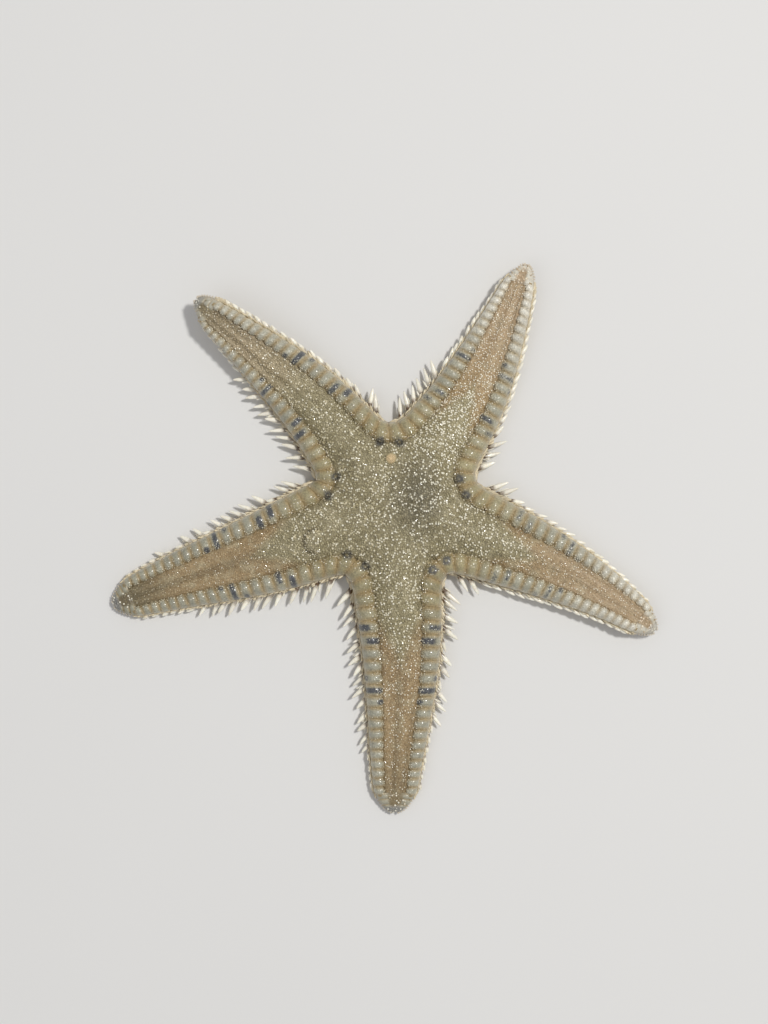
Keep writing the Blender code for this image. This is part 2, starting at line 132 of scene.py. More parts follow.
class Arm:
    """One arm, from the disc's centre to its tip.

    first and second are the directions, in degrees, of the corners on its right and left.
    root and end are its half widths. turn, lift and roll say how its end differs from a straight
    flat one. bow is how far its middle swings out to the left. open_left and open_right give the
    share along which spines stand out.
    """

    def __init__(
        self, name, first, second, length, turn, lift, roll, bow, root, end, open_left, open_right
    ):
        self.name = name
        self.heading = math.radians((first + second) / 2)
        self.half_angle = math.radians((second - first) / 2)
        self.length = length * MM
        self.turn = math.radians(turn)
        self.lift = lift * MM
        self.roll = math.radians(roll)
        self.bow = bow * MM
        self.root = root * MM
        self.end = end * MM
        self.open_share = {1: open_left, -1: open_right}
        self.corner_s = CORNER_REACH * math.cos(self.half_angle)
        self.inner_s = INNER_CORNER_REACH * math.cos(self.half_angle)
        self.core_s = (INNER_CORNER_REACH - GAP) * math.cos(self.half_angle)
        self.plates_end = self.length - TIP_LENGTH

    def along(self, s):
        return share(s, self.corner_s, self.length)

    def plain_width(self, s):
        return mix(self.root, self.end, self.along(s) ** TAPER_POWER)

    def plate_width(self, s):
        width = mix(PLATE_WIDTH_ROOT, PLATE_WIDTH_END, self.along(s))
        return np.minimum(width, PLATE_MOST_SHARE * self.plain_width(s))

    def outer_width(self, s):
        """Half width over the marginal plates, with the fillet at the corner and the round tip."""
        corner = CORNER_REACH * math.sin(self.half_angle) - self.root
        fillet = corner * np.exp(-(s - self.corner_s) / OUTER_FILLET)
        past = share(s, self.length - TIP_ROUNDING, self.length)
        return (self.plain_width(s) + fillet) * np.sqrt(1 - past * past)

    def side_line(self, s, corner_reach, inset):
        """Half width inside the marginal plates, less inset, through the corner at corner_reach."""
        corner_s = corner_reach * math.cos(self.half_angle)
        straight = self.plain_width(corner_s) - self.plate_width(corner_s) - inset
        corner = corner_reach * math.sin(self.half_angle) - straight
        fillet = corner * np.exp(-np.maximum(0, s - corner_s) / INNER_FILLET)
        beyond = self.plain_width(s) - self.plate_width(s) - inset + fillet
        return np.where(s < corner_s, s * math.tan(self.half_angle), beyond)

    def inner_width(self, s):
        return self.side_line(s, INNER_CORNER_REACH, 0)

    def core_width(self, s):
        return self.side_line(s, INNER_CORNER_REACH - GAP, GAP)

    def crown(self, s):
        """Height of the upper marginal plates."""
        return mix(CROWN_ROOT, CROWN_END, self.along(s))

    def roof(self, s, v):
        """Height of the solids' upper surface at v, from -1 on the right edge to 1 on the left one."""
        edge = EDGE_SHARE * self.crown(s)
        middle = edge + BULGE * np.maximum(0, 1 - s / self.length) ** BULGE_POWER
        edge = np.where(s < self.core_s, mix(ROOF_HEIGHT, edge, (s / self.core_s) ** 2), edge)
        in_disc = 0.5 + 0.5 * np.cos(np.pi * v)
        in_arm = 1 - v * v
        height = mix(edge, middle, mix(in_disc, in_arm, smooth(share(s, self.core_s, ARM_CUT))))
        return mix(ROOF_HEIGHT, height, smooth(share(s, 0, 3 * MM)))

    def furrow_half(self, s):
        half = mix(FURROW_HALF_ROOT, FURROW_HALF_END, s / self.length)
        return np.minimum(half, 0.6 * self.core_width(s))

    def furrow_depth(self, s):
        return mix(FURROW_DEPTH_ROOT, FURROW_DEPTH_END, s / self.length)

    def place(self, s, a, z):
        """The points at distances s along the arm, offsets a to its left and heights z."""
        s, a, z = np.broadcast_arrays(np.asarray(s, float), a, z)
        turned = self.turn * np.maximum(0, s - BEND_START) / (self.length - BEND_START)
        radius = (self.length - BEND_START) / self.turn
        ahead = np.minimum(s, BEND_START) + radius * np.sin(turned)
        left = radius * (1 - np.cos(turned))
        rise = share(s, RISE_START, self.length)
        roll = self.roll * smooth(rise)
        level = heading_vector(self.heading + turned + math.pi / 2)
        sideways = level * np.cos(roll)[..., None] + UP * np.sin(roll)[..., None]
        upwards = UP * np.cos(roll)[..., None] - level * np.sin(roll)[..., None]
        clear = self.plain_width(s) * np.abs(np.sin(roll))
        point = DISC_CENTRE + heading_vector(self.heading) * ahead[..., None]
        point = point + heading_vector(self.heading + math.pi / 2) * left[..., None]
        swing = np.sin(math.pi * share(s, self.corner_s, self.length) ** BOW_SKEW) ** 2
        point = point + level * (self.bow * swing)[..., None]
        point = point + sideways * a[..., None] + upwards * z[..., None]
        return point + UP * (self.lift * rise * rise + clear)[..., None]


ARMS = (
    Arm("upper_right", 17.0, 95.3, 38.7, 13.8, 1.6, -10, -0.3, 6.35, 1.7, open_left=0.35, open_right=0.25),
    Arm("upper_left", 95.3, 161.6, 40.3, 13.0, 2.6, -26, -0.3, 5.9, 1.9, open_left=0.6, open_right=0.12),
    Arm("left", 161.6, 233.1, 42.1, 4.5, 0.0, 0, 0.5, 6.8, 2.4, open_left=0.62, open_right=0.75),
    Arm("lower", 233.1, 307.3, 43.0, -1.0, 0.0, 0, 0.68, 6.4, 2.7, open_left=0.6, open_right=0.75),
    Arm("right", 307.3, 377.0, 40.6, -20.6, 0.8, -9, -0.2, 6.35, 1.9, open_left=0.12, open_right=0.15),
)
SIDES = {1: "left", -1: "right"}


def plate_line(arm, s):
    """(s, a) of the inner and of the outer end of the lines across the plates at s.

    The lines fan out round the corner between two arms, and lie square to the arm further out.
    """
    middle = (arm.corner_s + arm.inner_s) / 2
    lean = (arm.corner_s - arm.inner_s) / 2 * np.exp(-(s - middle) / PLATE_FAN)
    inner_s, outer_s = s - lean, s + lean
    return (inner_s, arm.inner_width(inner_s)), (outer_s, arm.outer_width(outer_s))


def plate_stations(arm, steps=600):
    """Where the grooves and the crowns lie, alternately, spaced along the middle of the row."""
    start = (arm.corner_s + arm.inner_s) / 2
    s = np.linspace(start, arm.plates_end, steps + 1)
    inner, outer = plate_line(arm, s)
    middle = (np.stack(inner, -1) + np.stack(outer, -1)) / 2
    walked = np.concatenate(([0.0], np.cumsum(np.linalg.norm(np.diff(middle, axis=0), axis=1))))
    halves = np.linspace(PLATE_LENGTH_ROOT, PLATE_LENGTH_END, 2 * PLATES_PER_SIDE)
    target = np.concatenate(([0.0], np.cumsum(halves))) * walked[-1] / halves.sum()
    return np.interp(target, walked, s)


def row_point(arm, side, s, across, up):
    """A point of the double row of plates: across from its inner edge, up from the underside."""
    inner, outer = plate_line(arm, s)
    at = mix(inner[0], outer[0], across)
    offset = mix(inner[1], outer[1], across)
    return arm.place(at, side * offset, up * arm.crown(s))


def paint(red, green, blue):
    """A colour as a colour card gives it, from 0 to 255, in the linear numbers that materials take."""
    card = (part / 255 for part in (red, green, blue))
    return tuple(((part + 0.055) / 1.055) ** 2.4 if part > 0.04 else part / 12.92 for part in card)


def length(name, description, size):
    kind = {"min": 0, "subtype": "DISTANCE", "unit": "LENGTH", "precision": 5}
    return FloatProperty(name=name, description=description, default=size * MM, **kind)


def ratio(name, description, value):
    kind = {"min": 0, "max": 1, "subtype": "FACTOR"}
    return FloatProperty(name=name, description=description, default=value, **kind)


def angle(name, description, degrees):
    kind = {"subtype": "ANGLE", "unit": "ROTATION"}
    return FloatProperty(name=name, description=description, default=math.radians(degrees), **kind)


def colour(name, description, card):
    kind = {"size": 3, "min": 0, "max": 1, "subtype": "COLOR"}
    return FloatVectorProperty(name=name, description=description, default=paint(*card), **kind)


def count(name, description, number):
    return IntProperty(name=name, description=description, default=number, min=1)


class SandStarSkin(bpy.types.PropertyGroup):
    coat_depth: length("Coat depth", "How far the skin lies under the heads of the grains", 0.34)
    tuck: length("Tuck", "How far the skin runs in under the plates", 0.4)
    sunk: length("Sunk strip", "How far the skin sinks between the plates of the outer arms", 0.38)
    ridge: ratio("Ridge", "How much of that sinking the middle line of the arm keeps out of", 0.55)
    fold_height: length("Fold height", "Step of the fold in the skin near the left arm's root", 0.75)
    under_clear: length("Clearance", "Height of the skin's flats over the floor", 0.3)
    olive: colour("Olive", "Skin of the disc and the arms' roots", (172, 160, 121))
    tan: colour("Tan", "Skin along the sides of the outer arms", (180, 153, 110))
    dusk: colour("Dusk", "The dark patch beside the disc's middle", (110, 101, 72))
    # Pale: clouds in the skin, and the painted highlight along the rim of the fold
    pale: colour("Pale", "Clouds in the skin", (206, 194, 158))
    blush: colour("Blush", "Skin near the pale arm ends", (214, 188, 155))
    # Painted shade in the fold's crease and along the skin's edge under the plates; also the skin's own
    # darker brown in its clouds and along the middle of the bare arms
    shadow: colour("Shadow", "Creases of the skin, and its edge under the plates", (104, 86, 54))
    slate: colour("Slate", "The dark spots at the arms' corners", (52, 55, 60))
    under: colour("Underside", "Skin of the underside and the furrows", (196, 176, 142))


class SandStarGrains(bpy.types.PropertyGroup):
    spacing: length("Spacing", "Least distance between the middles of two grains", 0.225)
    density: FloatProperty(
        name="Density", description="Most grains on each square metre", default=3.2e7, min=0
    )
    radius: length("Radius", "Radius of a grain's head on the disc", 0.132)
    height: length("Height", "Height of a grain over the skin", 0.21)
    tilt: angle("Tilt", "How far a grain may lean from the skin's upright", 17)
    seed: count("Seed", "Draws the places of the grains", 7)
    # Pale heads of the grains: their own pale tips, with painted glints on them
    gleam: colour("Gleam", "Pale heads of the grains", (246, 240, 218))
    # Painted shade at the grains' feet, down between them
    shade: colour("Shade", "Dark feet of the grains", (92, 80, 54))


class SandStarPlates(bpy.types.PropertyGroup):
    groove: ratio("Groove", "Depth of the grooves, as a share of the row's half height", 0.36)
    grit: length("Grit", "Radius of the granules on the plates", 0.095)
    khaki: colour("Khaki", "Plates round the corners between two arms", (174, 162, 120))
    sage: colour("Sage", "Plates along the arms", (178, 174, 150))
    ochre: colour("Ochre", "Between two plates", (176, 152, 106))
    slate: colour("Slate", "The dark bars on some plates", (52, 56, 66))
    faded: colour("Faded", "Plates near the pale arm ends", (246, 239, 220))
    cream: colour("Cream", "Lower plates and their scales", (222, 208, 176))
    amber: colour("Amber", "Lower plates at the roots of the spines", (84, 64, 32))


class SandStarSpines(bpy.types.PropertyGroup):
    width: length("Width", "Width of a side spine at the arm's root", 0.8)
    thickness: length("Thickness", "Thickness of a side spine at the arm's root", 0.46)
    small_share: ratio("Small share", "Length of the smaller spine under each side spine", 0.62)
    white: colour("White", "Spines towards their tips", (250, 243, 224))
    grey: colour("Grey", "Clouds in the spines", (206, 197, 174))
    brown: colour("Brown", "Roots of the spines", (96, 70, 36))


class SandStarUnderside(bpy.types.PropertyGroup):
    foot_pitch: length("Foot pitch", "Distance between two tube feet of a row", 1.15)
    foot_radius: length("Foot radius", "Radius of a tube foot", 0.3)
    edge_pitch: length("Edge pitch", "Distance between two plates beside the furrow", 0.8)
    flesh: colour("Flesh", "Tube feet and the skin round the mouth", (226, 190, 146))
    bone: colour("Bone", "Plates and spines beside the furrows, and the jaws", (222, 206, 170))
    # Dark: painted shade at the mouth's opening, and the eyespots' own dark specks
    dark: colour("Dark", "The mouth's opening", (52, 34, 26))
    eye_red: colour("Eyespot", "The eyespot under each arm's tip", (150, 30, 18))


class SandStarEnds(bpy.types.PropertyGroup):
    blue_grey: colour("Blue grey", "The plates that close the arms", (146, 146, 142))
    pale: colour("Pale", "Rim and points of those plates", (216, 204, 182))
    sieve: colour("Sieve plate", "The sieve plate between the two upper arms", (222, 196, 150))


class SandStarStage(bpy.types.PropertyGroup):
    floor: colour("Floor", "The floor", (226, 224, 219))
    camera_height: length("Camera height", "Height of the camera over the floor", 303.0)
    lens: FloatProperty(name="Lens", description="Focal length, in millimetres", default=75.3, min=1)
    key_power: FloatProperty(name="Key light", description="Power", default=4.4, min=0, unit="POWER")
    fill_power: FloatProperty(name="Fill light", description="Power", default=0.8, min=0, unit="POWER")
    world: FloatProperty(name="Room light", description="Strength of the even light", default=0.42, min=0)


class Value:
    """A node's socket that takes Python's operators: each adds the Math node that it stands for."""

    def __init__(self, nodes, socket):
        self.nodes = nodes
        self.socket = socket

    def math(self, operation, *others):
        return self.nodes.add("ShaderNodeMath", {"operation": operation}, (self, *others))

    def __add__(self, other):
        return self.math("ADD", other)

    __radd__ = __add__

    def __mul__(self, other):
        return self.math("MULTIPLY", other)

    __rmul__ = __mul__

    def __sub__(self, other):
        return self.math("SUBTRACT", other)

    def __rsub__(self, other):
        return self.nodes.add("ShaderNodeMath", {"operation": "SUBTRACT"}, (other, self))

    def __pow__(self, other):
        return self.math("POWER", other)

    def __abs__(self):
        return self.math("ABSOLUTE")

    def least(self, other):
        return self.math("MINIMUM", other)

    def most(self, other):
        return self.math("MAXIMUM", other)

    def steps(self, low, high, start=0.0, stop=1.0):
        """Runs smoothly from start to stop while this value goes from low to high."""
        settings = {"interpolation_type": "SMOOTHSTEP", "clamp": True}
        return self.nodes.add("ShaderNodeMapRange", settings, (self, low, high, start, stop))


class Nodes:
    """Adds nodes to a shader tree or to a geometry tree."""

    def __init__(self, tree):
        self.tree = tree

    def add(self, kind, settings=None, inputs=(), output=0):
        """A node of a kind: its settings first, then the values or links of its inputs."""
        node = self.tree.nodes.new(kind)
        for key, value in (settings or {}).items():
            setattr(node, key, value)
        named = inputs.items() if isinstance(inputs, dict) else enumerate(inputs)
        for key, value in named:
            if isinstance(value, Value):
                self.tree.links.new(value.socket, node.inputs[key])
            elif value is not None:
                node.inputs[key].default_value = value
        return Value(self, node.outputs[output])

    def other(self, value, output):
        """Another output of the node that value comes from."""
        return Value(self, value.socket.node.outputs[output])

    def blend(self, a, b, factor, how="MIX"):
        """Colour a turned into colour b by factor."""
        a, b = (c if isinstance(c, Value) else (*c, 1) for c in (a, b))
        settings = {"data_type": "RGBA", "blend_type": how}
        return self.add("ShaderNodeMix", settings, {0: factor, 6: a, 7: b}, output=2)

    def tinted(self, colour, strength):
        """A colour made darker or lighter by a value."""
        strength = strength if isinstance(strength, Value) else (strength,) * 3
        return self.blend(colour, strength, 1.0, "MULTIPLY")

    def vector(self, operation, a, b=None, output=0):
        return self.add("ShaderNodeVectorMath", {"operation": operation}, (a, b), output=output)


class Finish(Nodes):
    """A material in the making: its tree, where a surface point lies, and the values it carries."""

    def __init__(self, name):
        self.material = bpy.data.materials.new(name)
        self.material.use_nodes = True
        super().__init__(self.material.node_tree)
        self.shader = self.tree.nodes["Principled BSDF"]
        self.place = self.add("ShaderNodeTexCoord", output="Object")

    def carried(self, name):
        """A named value that the mesh carries."""
        return self.add("ShaderNodeAttribute", {"attribute_name": name}, output="Fac")

    def noise(self, size, detail):
        inputs = {"Vector": self.place, "Scale": 1 / size, "Detail": detail}
        return self.add("ShaderNodeTexNoise", None, inputs)

    def cells(self, size, output=0):
        inputs = {"Vector": self.place, "Scale": 1 / size}
        return self.add("ShaderNodeTexVoronoi", None, inputs, output=output)

    def relief(self, height, depth):
        inputs = {"Strength": 1.0, "Distance": depth, "Height": height}
        return self.add("ShaderNodeBump", None, inputs)

    def close(self, base, roughness, normal=None, coat=0.0, **fixed):
        """Links what changes over the surface, and sets what is the same all over it."""
        links = {"Base Color": base, "Roughness": roughness, "Normal": normal, "Coat Weight": coat}
        for key, value in links.items():
            if isinstance(value, Value):
                self.tree.links.new(value.socket, self.shader.inputs[key])
            elif value is not None:
                self.shader.inputs[key].default_value = value
        for key, value in fixed.items():
            self.shader.inputs[key.replace("_", " ").title()].default_value = value
        return self.material


def placed(name, data):
    """A new object of the data, in the scene."""
    made = bpy.data.objects.new(name, data)
    bpy.context.scene.collection.objects.link(made)
    return made


def store(mesh, key, values, kind="FLOAT", domain="POINT"):
    """Keeps values on a mesh under a name that node trees and finishes read."""
    made = mesh.attributes.new(key, kind, domain)
    made.data.foreach_set("value" if kind == "FLOAT" else "vector", np.ravel(values))


def round_turn(sides):
    """The angles of points spread evenly round a full turn."""
    return np.arange(sides) * math.tau / sides


def circle(turn, radius, height):
    """Points round +Z at the angles turn, with a radius and a height for all or for each."""
    return np.stack(np.broadcast_arrays(np.cos(turn) * radius, np.sin(turn) * radius, height), -1)


class Shell:
    """Points, faces and carried values of one mesh that is put together from closed bodies."""

    def __init__(self):
        self.points = []
        self.faces = []
        self.values = {}
        self.total = 0

    def loft(self, rings, **values):
        """A closed body through rings of points, (rings, points a ring, 3), with its ends capped."""
        rings = np.asarray(rings, float)
        many, around = rings.shape[:2]
        index = np.arange(many * around).reshape(many, around) + self.total
        after = np.roll(index, -1, axis=1)
        quads = np.stack((index[:-1], after[:-1], after[1:], index[1:]), axis=-1).reshape(-1, 4)
        self.faces += quads.tolist()
        self.faces += [index[0, ::-1].tolist(), index[-1].tolist()]
        self.points.append(rings.reshape(-1, 3))
        for key, value in values.items():
            self.values.setdefault(key, []).append(np.broadcast_to(value, rings.shape[:2]).ravel())
        self.total += many * around

    def object(self, name):
        mesh = bpy.data.meshes.new(name)
        mesh.from_pydata(np.concatenate(self.points), [], self.faces)
        for key, value in self.values.items():
            store(mesh, key, np.concatenate(value))
        return finished_object(name, mesh)


def finished_object(name, mesh, merge=0.0):
    """An object of the mesh, with its doubles merged, its faces turned outwards and shaded smooth."""
    bm = bmesh.new()
    bm.from_mesh(mesh)
    if merge:
        bmesh.ops.remove_doubles(bm, verts=bm.verts, dist=merge)
        bmesh.ops.dissolve_degenerate(bm, edges=bm.edges, dist=merge)
    bmesh.ops.recalc_face_normals(bm, faces=bm.faces)
    if bm.calc_volume(signed=True) < 0:
        bmesh.ops.reverse_faces(bm, faces=bm.faces)
    bm.to_mesh(mesh)
    bm.free()
    mesh.shade_smooth()
    return placed(name, mesh)


def hand_over(piece, material, slot, *nodes):
    """Gives a finished piece its material and its body, and says which solids it stands for."""
    piece.data.materials.clear()
    piece.data.materials.append(material)
    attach(piece, BODY)
    if nodes:
        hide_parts(*nodes)


class GeometryTree(Nodes):
    """A Geometry Nodes tree with named inputs, and one geometry output."""

    def __init__(self, name, **inputs):
        super().__init__(bpy.data.node_groups.new(name, "GeometryNodeTree"))
        face = self.tree.interface
        face.new_socket(name="Geometry", in_out="INPUT", socket_type="NodeSocketGeometry")
        for key, kind in inputs.items():
            face.new_socket(name=key, in_out="INPUT", socket_type="NodeSocket" + kind)
        face.new_socket(name="Geometry", in_out="OUTPUT", socket_type="NodeSocketGeometry")
        self.entry = self.tree.nodes.new("NodeGroupInput")

    def given(self, name):
        return Value(self, self.entry.outputs[name])

    def carried(self, name, kind="FLOAT"):
        return self.add("GeometryNodeInputNamedAttribute", {"data_type": kind}, {"Name": name})

    def draw(self, low, high, seed):
        """A random value for each point, between low and high."""
        inputs = {2: low, 3: high, "Seed": seed}
        return self.add("FunctionNodeRandomValue", {"data_type": "FLOAT"}, inputs, output=1)

    def join_axes(self, x, y, z):
        return self.add("ShaderNodeCombineXYZ", None, (x, y, z))

    def finish(self, instances, smooth=True):
        """Realizes the instances, gives them the material and closes the tree."""
        solid = self.add("GeometryNodeRealizeInstances", None, (instances,))
        solid = self.add("GeometryNodeSetShadeSmooth", None, {"Geometry": solid, "Shade Smooth": smooth})
        inputs = {"Geometry": solid, "Material": self.given("Material")}
        solid = self.add("GeometryNodeSetMaterial", None, inputs)
        out = self.tree.nodes.new("NodeGroupOutput")
        self.tree.links.new(solid.socket, out.inputs[0])
        return self.tree


def grown(name, source, tree, **inputs):
    """A plain mesh object of what the tree grows on source."""
    modifier = source.modifiers.new(name, "NODES")
    modifier.node_group = tree
    sockets = (item for item in tree.interface.items_tree if item.in_out == "INPUT")
    identifiers = {item.name: item.identifier for item in sockets}
    for key, value in inputs.items():
        modifier[identifiers[key]] = value
    graph = bpy.context.evaluated_depsgraph_get()
    mesh = bpy.data.meshes.new_from_object(
        source.evaluated_get(graph), preserve_all_data_layers=True, depsgraph=graph
    )
    mesh.name = name
    source.modifiers.remove(modifier)
    return placed(name, mesh)


def helper(name, rings, **values):
    """A shape that trees repeat and that isn't shown itself."""
    shell = Shell()
    shell.loft(rings, **values)
    made = shell.object(name)
    made.hide_render = True
    return made


def remove(*helpers):
    for made in helpers:
        bpy.data.objects.remove(made)


def turned_rings(profile, sides, bend=0.0):
    """Rings round +Z from (radius, height) pairs, leaning along +X by bend at the top."""
    turn = round_turn(sides)
    rings = np.array([circle(turn, radius, height) for radius, height in profile])
    rings[..., 0] += bend * rings[..., 2] * rings[..., 2]
    return rings


def above(value, limit):
    return value.math("GREATER_THAN", limit)


def scatter_tree():
    """Copies of a shape on the faces that carry the coat, each with its own turn, lean and size."""
    sizes = dict.fromkeys(("Spacing", "Density", "Radius", "Tilt", "Height", "Arm"), "Float")
    t = GeometryTree("Scattered", Shape="Object", **sizes, Seed="Int", Material="Material")
    inputs = {
        "Mesh": t.given("Geometry"),
        "Selection": above(t.carried("coat"), 0.5),
        "Distance Min": t.given("Spacing"),
        "Density Max": t.given("Density"),
        "Density Factor": t.carried("dense"),
        "Seed": t.given("Seed"),
    }
    points = t.add("GeometryNodeDistributePointsOnFaces", {"distribute_method": "POISSON"}, inputs)
    upright = t.other(points, 2)
    on_arm = above(abs(t.carried("arm") - t.given("Arm")), 0.5)
    points = t.add("GeometryNodeSeparateGeometry", {"domain": "POINT"}, (points, 1 - on_arm))
    tilt = t.given("Tilt")
    lean = (t.draw(-1.0, 1.0, 1) * tilt, t.draw(-1.0, 1.0, 2) * tilt, t.draw(0.0, math.tau, 3))
    turn = t.add("FunctionNodeEulerToRotation", None, (t.join_axes(*lean),))
    turn = t.add("FunctionNodeRotateRotation", {"rotation_space": "LOCAL"}, (upright, turn))
    width = t.given("Radius") * t.carried("swell") * t.draw(0.62, 1.36, 4)
    height = t.given("Height") * t.carried("swell") * t.draw(0.6, 1.3, 5)
    named = {"Name": "grain", "Value": t.draw(0.0, 1.0, 4)}
    points = t.add("GeometryNodeStoreNamedAttribute", {"data_type": "FLOAT"}, {"Geometry": points, **named})
    shape = t.add("GeometryNodeObjectInfo", None, {"Object": t.given("Shape")}, output=4)
    size = t.join_axes(width, width, height)
    inputs = {"Points": points, "Instance": shape, "Rotation": turn, "Scale": size}
    made = t.add("GeometryNodeInstanceOnPoints", None, inputs)
    solid = t.add("GeometryNodeRealizeInstances", None, (made,))
    patch = t.vector("SCALE", t.carried("tuft", "FLOAT_VECTOR"))
    patch.socket.node.inputs["Scale"].default_value = TUFT_PATCH
    place = t.vector("ADD", t.carried("unwrap", "FLOAT_VECTOR"), patch)
    named = {"Geometry": solid, "Name": "OFBake", "Value": place}
    solid = t.add("GeometryNodeStoreNamedAttribute", {"data_type": "FLOAT2", "domain": "CORNER"}, named)
    return t.finish(solid, smooth=False)


def scattered(name, source, shape, material, arm=0, **sizes):
    """A plain mesh of copies of a shape over the faces that bear a coat and the arm's number."""
    tree = bpy.data.node_groups.get("Scattered") or scatter_tree()
    inputs = {key.title(): value for key, value in sizes.items()}
    return grown(name, source, tree, Shape=shape, Material=material, Arm=float(arm), **inputs)


def planted_tree():
    """A shape on each point, along the direction and in the size that the point carries."""
    t = GeometryTree("Planted", Shape="Object", Material="Material")
    shape = t.add("GeometryNodeObjectInfo", None, {"Object": t.given("Shape")}, output=4)
    ahead, across = t.carried("ahead", "FLOAT_VECTOR"), t.carried("across", "FLOAT_VECTOR")
    axes = {"primary_axis": "Z", "secondary_axis": "X"}
    turn = t.add("FunctionNodeAxesToRotation", axes, (ahead, across))
    size = t.carried("size", "FLOAT_VECTOR")
    inputs = {"Points": t.given("Geometry"), "Instance": shape, "Rotation": turn, "Scale": size}
    return t.finish(t.add("GeometryNodeInstanceOnPoints", None, inputs))


class Roots:
    """The points that shapes are planted on: where, along what, across what, how large, and values."""

    def __init__(self):
        self.lists = {}

    def add(self, place, ahead, across, size, **values):
        values = {"place": place, "ahead": ahead, "across": across, "size": size, **values}
        for key, value in values.items():
            self.lists.setdefault(key, []).append(value)

    def plant(self, name, shape, material):
        """One mesh object with the shape planted on every point."""
        mesh = bpy.data.meshes.new(name)
        mesh.from_pydata(np.array(self.lists.pop("place")), [], [])
        for key, value in self.lists.items():
            value = np.array(value, float)
            store(mesh, key, value, "FLOAT_VECTOR" if value.ndim == 2 else "FLOAT")
        source = placed(name + "_roots", mesh)
        tree = bpy.data.node_groups.get("Planted") or planted_tree()
        made = grown(name, source, tree, Shape=shape, Material=material)
        remove(source)
        return made


# How finely the skin is made, and where it ends under the plate that closes the arm
DISC_ROWS = 32
ARM_ROWS = 96
SKIN_COLUMNS = 37
UNDER_TIP = 0.3 * MM

# The length that the skin's unwrap spans, the side of a grain's patch as a share of an unwrap's, and
# how wide a grain of radius 1 is at most
UNWRAP_SPAN = 48 * MM
TUFT_PATCH = 0.003
TUFT_WIDTH = 2.2

# The fold in the skin near the left arm's root: its middle, its radius and how it runs out
FOLD_MIDDLE = np.array((-9.7, -0.36)) * MM
FOLD_RADIUS = 1.55 * MM
FOLD_RUNS_OUT = 2.4 * MM

# The sieve plate: its radius, how far the grains come in over its rim, and how high it stands
SIEVE_RADIUS = 0.78 * MM
SIEVE_OVERLAP = 0.06 * MM
SIEVE_PROUD = 0.12 * MM

# Where the outer arms lose their coat and sink between their plates
SUNK_FROM, SUNK_TO = 0.42, 0.62
BARE_SHARE = {"left": 1.0, "right": 0.85, "lower": 0.7, "upper_left": 0.15, "upper_right": 0.85}

# How pale each arm grows towards its end, and how many of its grains gleam
PALE_ENDS = {"left": 0.0, "right": 0.75, "lower": 0.1, "upper_left": 0.35, "upper_right": 1.0}
PALE_SKIN = {"left": 0.0, "right": 0.4, "lower": 0.0, "upper_left": 0.45, "upper_right": 0.5}
# GLEAMS also scales each arm's colour: painted light on the arms that face the key light, painted shade on
# those away from it
GLEAMS = {"left": 0.9, "right": 1.15, "lower": 1.1, "upper_left": 0.95, "upper_right": 1.85}

# How grey each arm's skin grows at its end, how far it is wrinkled lengthwise, and the painted
# shading of its plates: shade on the arms away from the key light, light on those that face it
GREY_ENDS = {"left": 0.75, "right": 0.0, "lower": 0.35, "upper_left": 0.3, "upper_right": 0.0}
WRINKLED = {"left": 0.2, "right": 0.0, "lower": 0.3, "upper_left": 1.0, "upper_right": 0.0}
PLATE_SHADING = {"left": -0.42, "right": 0.1, "lower": -0.25, "upper_left": -0.1, "upper_right": 0.1}

# How much of their brown the roots of the spines lose towards the end of the arm
BROWN_LOST = {"left": 0.4, "right": 0.85, "lower": 0.3, "upper_left": 0.5, "upper_right": 0.85}

# How dark the middle of the bare skin is, and how thick and large the grains stay there
STREAKS = {"left": 1.0, "right": 0.45, "lower": 1.0, "upper_left": 0.5, "upper_right": 0.2}
BARE_GRAINS = {"left": 0.65, "right": 0.75, "lower": 0.85, "upper_left": 0.65, "upper_right": 1.0}


def fading(arm, s, shares=PALE_ENDS, start=0.47, stop=0.95):
    """How far the arm has grown pale at s: its plates, or with PALE_SKIN its skin."""
    return shares[arm.name] * smooth(share(s / arm.length, start, stop))


def browning(arm, s):
    """How brown the roots of the spines are at s: less towards the end of the arm."""
    return mix(1.0, 1 - BROWN_LOST[arm.name], smooth(share(s / arm.length, 0.3, 0.65)))


def fold(point, sizes):
    """How far the fold lifts the skin at a point, and how near its crease and its rim are there."""
    away = np.linalg.norm(point[..., :2] - FOLD_MIDDLE, axis=-1)
    ahead = point[..., 0] - FOLD_MIDDLE[0]
    inside = 1 - smooth(share(away, FOLD_RADIUS - 0.6 * MM, FOLD_RADIUS + 0.2 * MM))
    remains = 1 - smooth(share(ahead, -0.2 * MM, FOLD_RUNS_OUT))
    faint = 1 - smooth(share(ahead, 0, 0.8 * MM))
    # The finishes paint a shadow along the crease and a highlight along the rim
    crease = np.exp(-(((away - FOLD_RADIUS - 0.15 * MM) / (0.26 * MM)) ** 2)) * faint
    rim = np.exp(-(((away - FOLD_RADIUS + 0.35 * MM) / (0.3 * MM)) ** 2)) * faint
    return sizes.fold_height * (inside * remains - 0.22 * crease + 0.15 * rim), crease, rim


def waves(point):
    """Slow swells of the skin, from -1 to 1."""
    x, y = point[..., 0] / MM, point[..., 1] / MM
    return (np.sin(0.9 * x + 0.4 * y) + np.sin(1.3 * y - 0.5 * x + 1) + np.sin(2.1 * x + 1.7 * y + 2)) / 3


def wrinkles(arm, s, a):
    """Low folds along the arm's outer part, from -1 to 1."""
    fine = np.sin(a / (0.17 * MM) + 1.4 * np.sin(s / (1.5 * MM)))
    broad = np.sin(a / (0.26 * MM) - 1.1 * np.sin(s / (2.3 * MM) + 1))
    return WRINKLED[arm.name] * 0.5 * (fine + broad) * smooth(share(s / arm.length, 0.36, 0.6))


